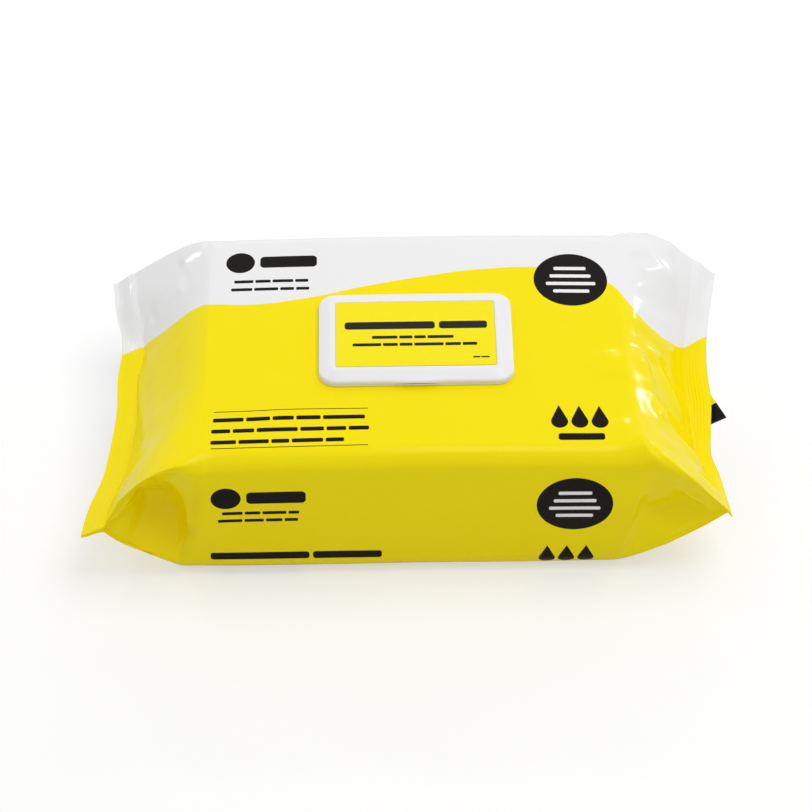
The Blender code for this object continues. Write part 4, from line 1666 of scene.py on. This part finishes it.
@dataclass
class Studio:
    """The camera at the photograph's angle, the floor and the lamps."""

    frame_pixels: int = 812
    focal_pixels: float = 3109.9
    centre_pixel: tuple = (415.6, 408.7)
    distance: float = 1.64035
    azimuth: float = math.radians(-1.16)
    elevation: float = math.radians(46.13)
    target: tuple = (3.2 * MM, 0.0, 38 * MM)
    sensor: float = 36.0
    floor_size: float = 8.0
    surrounding: float = 0.58
    floor_bounce: tuple = (0.8, 0.8, 0.8, 1.0)
    floor_shadow: tuple = (0.55, 0.55, 0.55, 1.0)
    floor_glow: float = 0.48
    white: tuple = (1.0, 1.0, 1.0, 1.0)
    lamps: tuple = (
        Lamp("soft_key", (0.30, 0.0, 0.95), 2.2, 1.4, 0.36),
        Lamp("right_back_lamp", (0.80, 0.47, 0.36), 1.4, 0.08, 0.03),
        Lamp("right_low_lamp", (0.73, 0.67, 0.08), 1.4, 0.10, 0.05),
        Lamp("right_far_lamp", (0.20, 0.80, 0.57), 1.4, 0.09, 0.03),
        Lamp("left_far_lamp", (-0.23, 0.79, 0.57), 1.4, 0.09, 0.03),
        Lamp("left_back_lamp", (-0.76, 0.53, 0.37), 1.4, 0.10, 0.05),
        Lamp("left_top_lamp", (-0.54, 0.23, 0.81), 1.4, 0.09, 0.03),
    )

    def camera(self) -> None:
        """Place the camera."""
        data = bpy.data.cameras.new("photo_camera")
        data.sensor_width = self.sensor
        data.lens = self.focal_pixels / self.frame_pixels * self.sensor
        half = self.frame_pixels / 2
        data.shift_x = -(self.centre_pixel[0] - half) / self.frame_pixels
        data.shift_y = (self.centre_pixel[1] - half) / self.frame_pixels
        az, el = self.azimuth, self.elevation
        back = Vector((math.sin(az) * math.cos(el), -math.cos(az) * math.cos(el), math.sin(el)))
        obj = bpy.data.objects.new("photo_camera", data)
        bpy.context.scene.collection.objects.link(obj)
        obj.location = Vector(self.target) + back * self.distance
        right = Vector((math.cos(az), math.sin(az), 0))
        turn = Matrix((right, back.cross(right), back)).transposed()
        obj.rotation_euler = turn.to_euler()
        bpy.context.scene.camera = obj

    def floor(self) -> None:
        """Lay a plain white floor that keeps the pack's shadow."""
        bpy.ops.mesh.primitive_plane_add(size=self.floor_size)
        floor = bpy.context.object
        floor.name = "studio_floor"
        nodes = Finish("studio_white")
        seen = nodes.add("LightPath").outputs["Is Camera Ray"]
        material = nodes.finish(
            Base_Color=nodes.mix(seen, self.floor_bounce, self.floor_shadow), Roughness=1.0,
            Specular_IOR_Level=0.0, Emission_Color=self.white,
            Emission_Strength=nodes.math("MULTIPLY", seen, self.floor_glow),
        )  # fmt: skip
        put_on(floor, material)

    def lamp(self, lamp: Lamp) -> None:
        """Place a square lamp that looks at the pack.

        Args:
            lamp: The lamp.
        """
        data = bpy.data.lights.new(lamp.name, "AREA")
        data.size = lamp.size
        data.energy = lamp.level * math.pi * math.pi * lamp.distance**2
        obj = bpy.data.objects.new(lamp.name, data)
        bpy.context.scene.collection.objects.link(obj)
        way = Vector(lamp.direction).normalized()
        obj.location = Vector(self.target) + way * lamp.distance
        obj.rotation_euler = way.to_track_quat("Z", "Y").to_euler()

    def world(self) -> None:
        """Make an even white surrounding light, seen as plain white behind the floor."""
        world = bpy.data.worlds.new("studio")
        bpy.context.scene.world = world
        world.use_nodes = True
        nodes = NodeTree(world.node_tree)
        path = nodes.add("LightPath").outputs
        seen = nodes.math("MAXIMUM", path["Is Camera Ray"], path["Is Glossy Ray"])
        seen = nodes.math("MAXIMUM", seen, path["Is Transmission Ray"])
        background = world.node_tree.nodes["Background"].inputs
        nodes.put(background["Color"], self.white)
        nodes.put(background["Strength"], nodes.spread(seen, self.surrounding, 1.0))

    def build(self) -> None:
        """Set up the whole studio."""
        self.camera()
        self.floor()
        for lamp in self.lamps:
            self.lamp(lamp)
        self.world()
        bpy.context.scene.view_settings.view_transform = "Standard"


RIGHT_PANEL_FOLDS = (
    Fold(((101, -6), (103, -16), (101, -28)), 4.0, 1.6),
    Fold(((124, 12), (136, -1), (147, -14), (158, -26)), 5.0, 2.2),
    Fold(((102, -54), (109, -63), (118, -74)), 4.5, 1.6),
    Fold(((102, -68), (113.6, -74), (124, -82)), 4.0, 1.4),
    Fold(((104, 20), (130, 16.5), (156, 18)), 8.0, 1.5),
    Fold(((114, 2), (124, -16), (132, -44)), 7.0, 1.8),
    Fold(((122, -30), (142, -42), (164, -55)), 6.0, 2.2),
    Fold(((112, -68), (135, -73), (160, -76)), 6.0, 1.5),
    Fold(((120, -2), (150, 2)), 7.0, -1.2),
    Fold(((150, -14), (166, -16)), 2.5, 0.7),
    Fold(((158, -22), (168, -21)), 2.5, 0.7),
    Fold(((150, -28), (166, -30)), 2.5, 0.6),
    Fold(((160, -36), (172, -41)), 2.5, 0.8),
    Fold(((118, 50), (150, 60)), 6.0, 1.2),
)
LEFT_PANEL_FOLDS = (
    Fold(((-164, 28), (-163, 4), (-155, -16), (-150, -31), (-152, -44)), 4.0, 1.4),
    Fold(((-150, 20), (-146, -10), (-140, -40)), 8.0, 0.9),
    Fold(((-104, -78), (-118, -80), (-136, -81), (-155, -79), (-172, -76)), 3.0, 1.6),
    Fold(((-131, 64.7), (-118, 70), (-108, 74)), 5.0, 1.2),
    Fold(((-170, 52), (-158, 44)), 3.0, 0.8),
    Fold(((-164, 36), (-150, 46)), 3.0, 0.7),
)
FRONT_GUSSET_FOLDS = (
    Fold(((114, -95), (107, -124.6), (101.5, -156)), 4.5, 2.4),
    Fold(((144, -112), (118, -132)), 11.0, -4.0),
    Fold(((142, -136), (122, -152)), 4.0, 1.2),
    Fold(((-154, -121), (-138, -123), (-120, -115)), 13.0, -7.5),
    Fold(((-125.3, -112), (-125.1, -127.6), (-121.2, -136.5), (-128.2, -148), (-131, -160)), 4.0, 2.2),
    Fold(((-107, -82), (-115.6, -92.8), (-120, -110.4), (-118, -122), (-119.7, -140)), 6.0, 1.8),
    Fold(((-165, -112), (-150, -100)), 4.0, 1.2),
    Fold(((-174, -122), (-162, -148), (-142, -158)), 6.0, -1.8),
)
BACK_FOLDS = (
    Fold(((112, 98), (106, 126), (101, 155)), 4.5, 2.0),
    Fold(((-112, 98), (-106, 126), (-102, 155)), 4.5, 2.0),
    Fold(((142, 112), (118, 130)), 10.0, -3.2),
    Fold(((-142, 112), (-118, 130)), 10.0, -3.2),
    Fold(((112, 64), (130, 62), (154, 52)), 5.0, 1.3),
    Fold(((120, 78), (150, 72)), 5.0, 1.2),
    Fold(((-152, 44), (-122, 52)), 5.0, 1.0),
)
FOLDS = RIGHT_PANEL_FOLDS + LEFT_PANEL_FOLDS + FRONT_GUSSET_FOLDS + BACK_FOLDS


def main() -> None:
    """Build every piece, then the studio round them."""
    wrapper = FilmWrapper(folds=FOLDS)
    film = wrapper.build()
    wrapper.dress(film)
    seal_tail = SealTail(wrapper)
    tail = seal_tail.build()
    seal_tail.dress(tail)
    lid = FlipLid()
    moulded = [lid.build_frame(), lid.build_cover(), lid.build_hinge()]
    lid.dress(*moulded)
    stickers = LidStickers().dress()
    for piece in (film, tail, *moulded, *stickers):
        log.info("%s: %d faces", piece.name, len(piece.data.polygons))
    Studio().build()


if __name__ == "__main__":
    logging.basicConfig(level=logging.INFO, format="%(message)s")
    main()
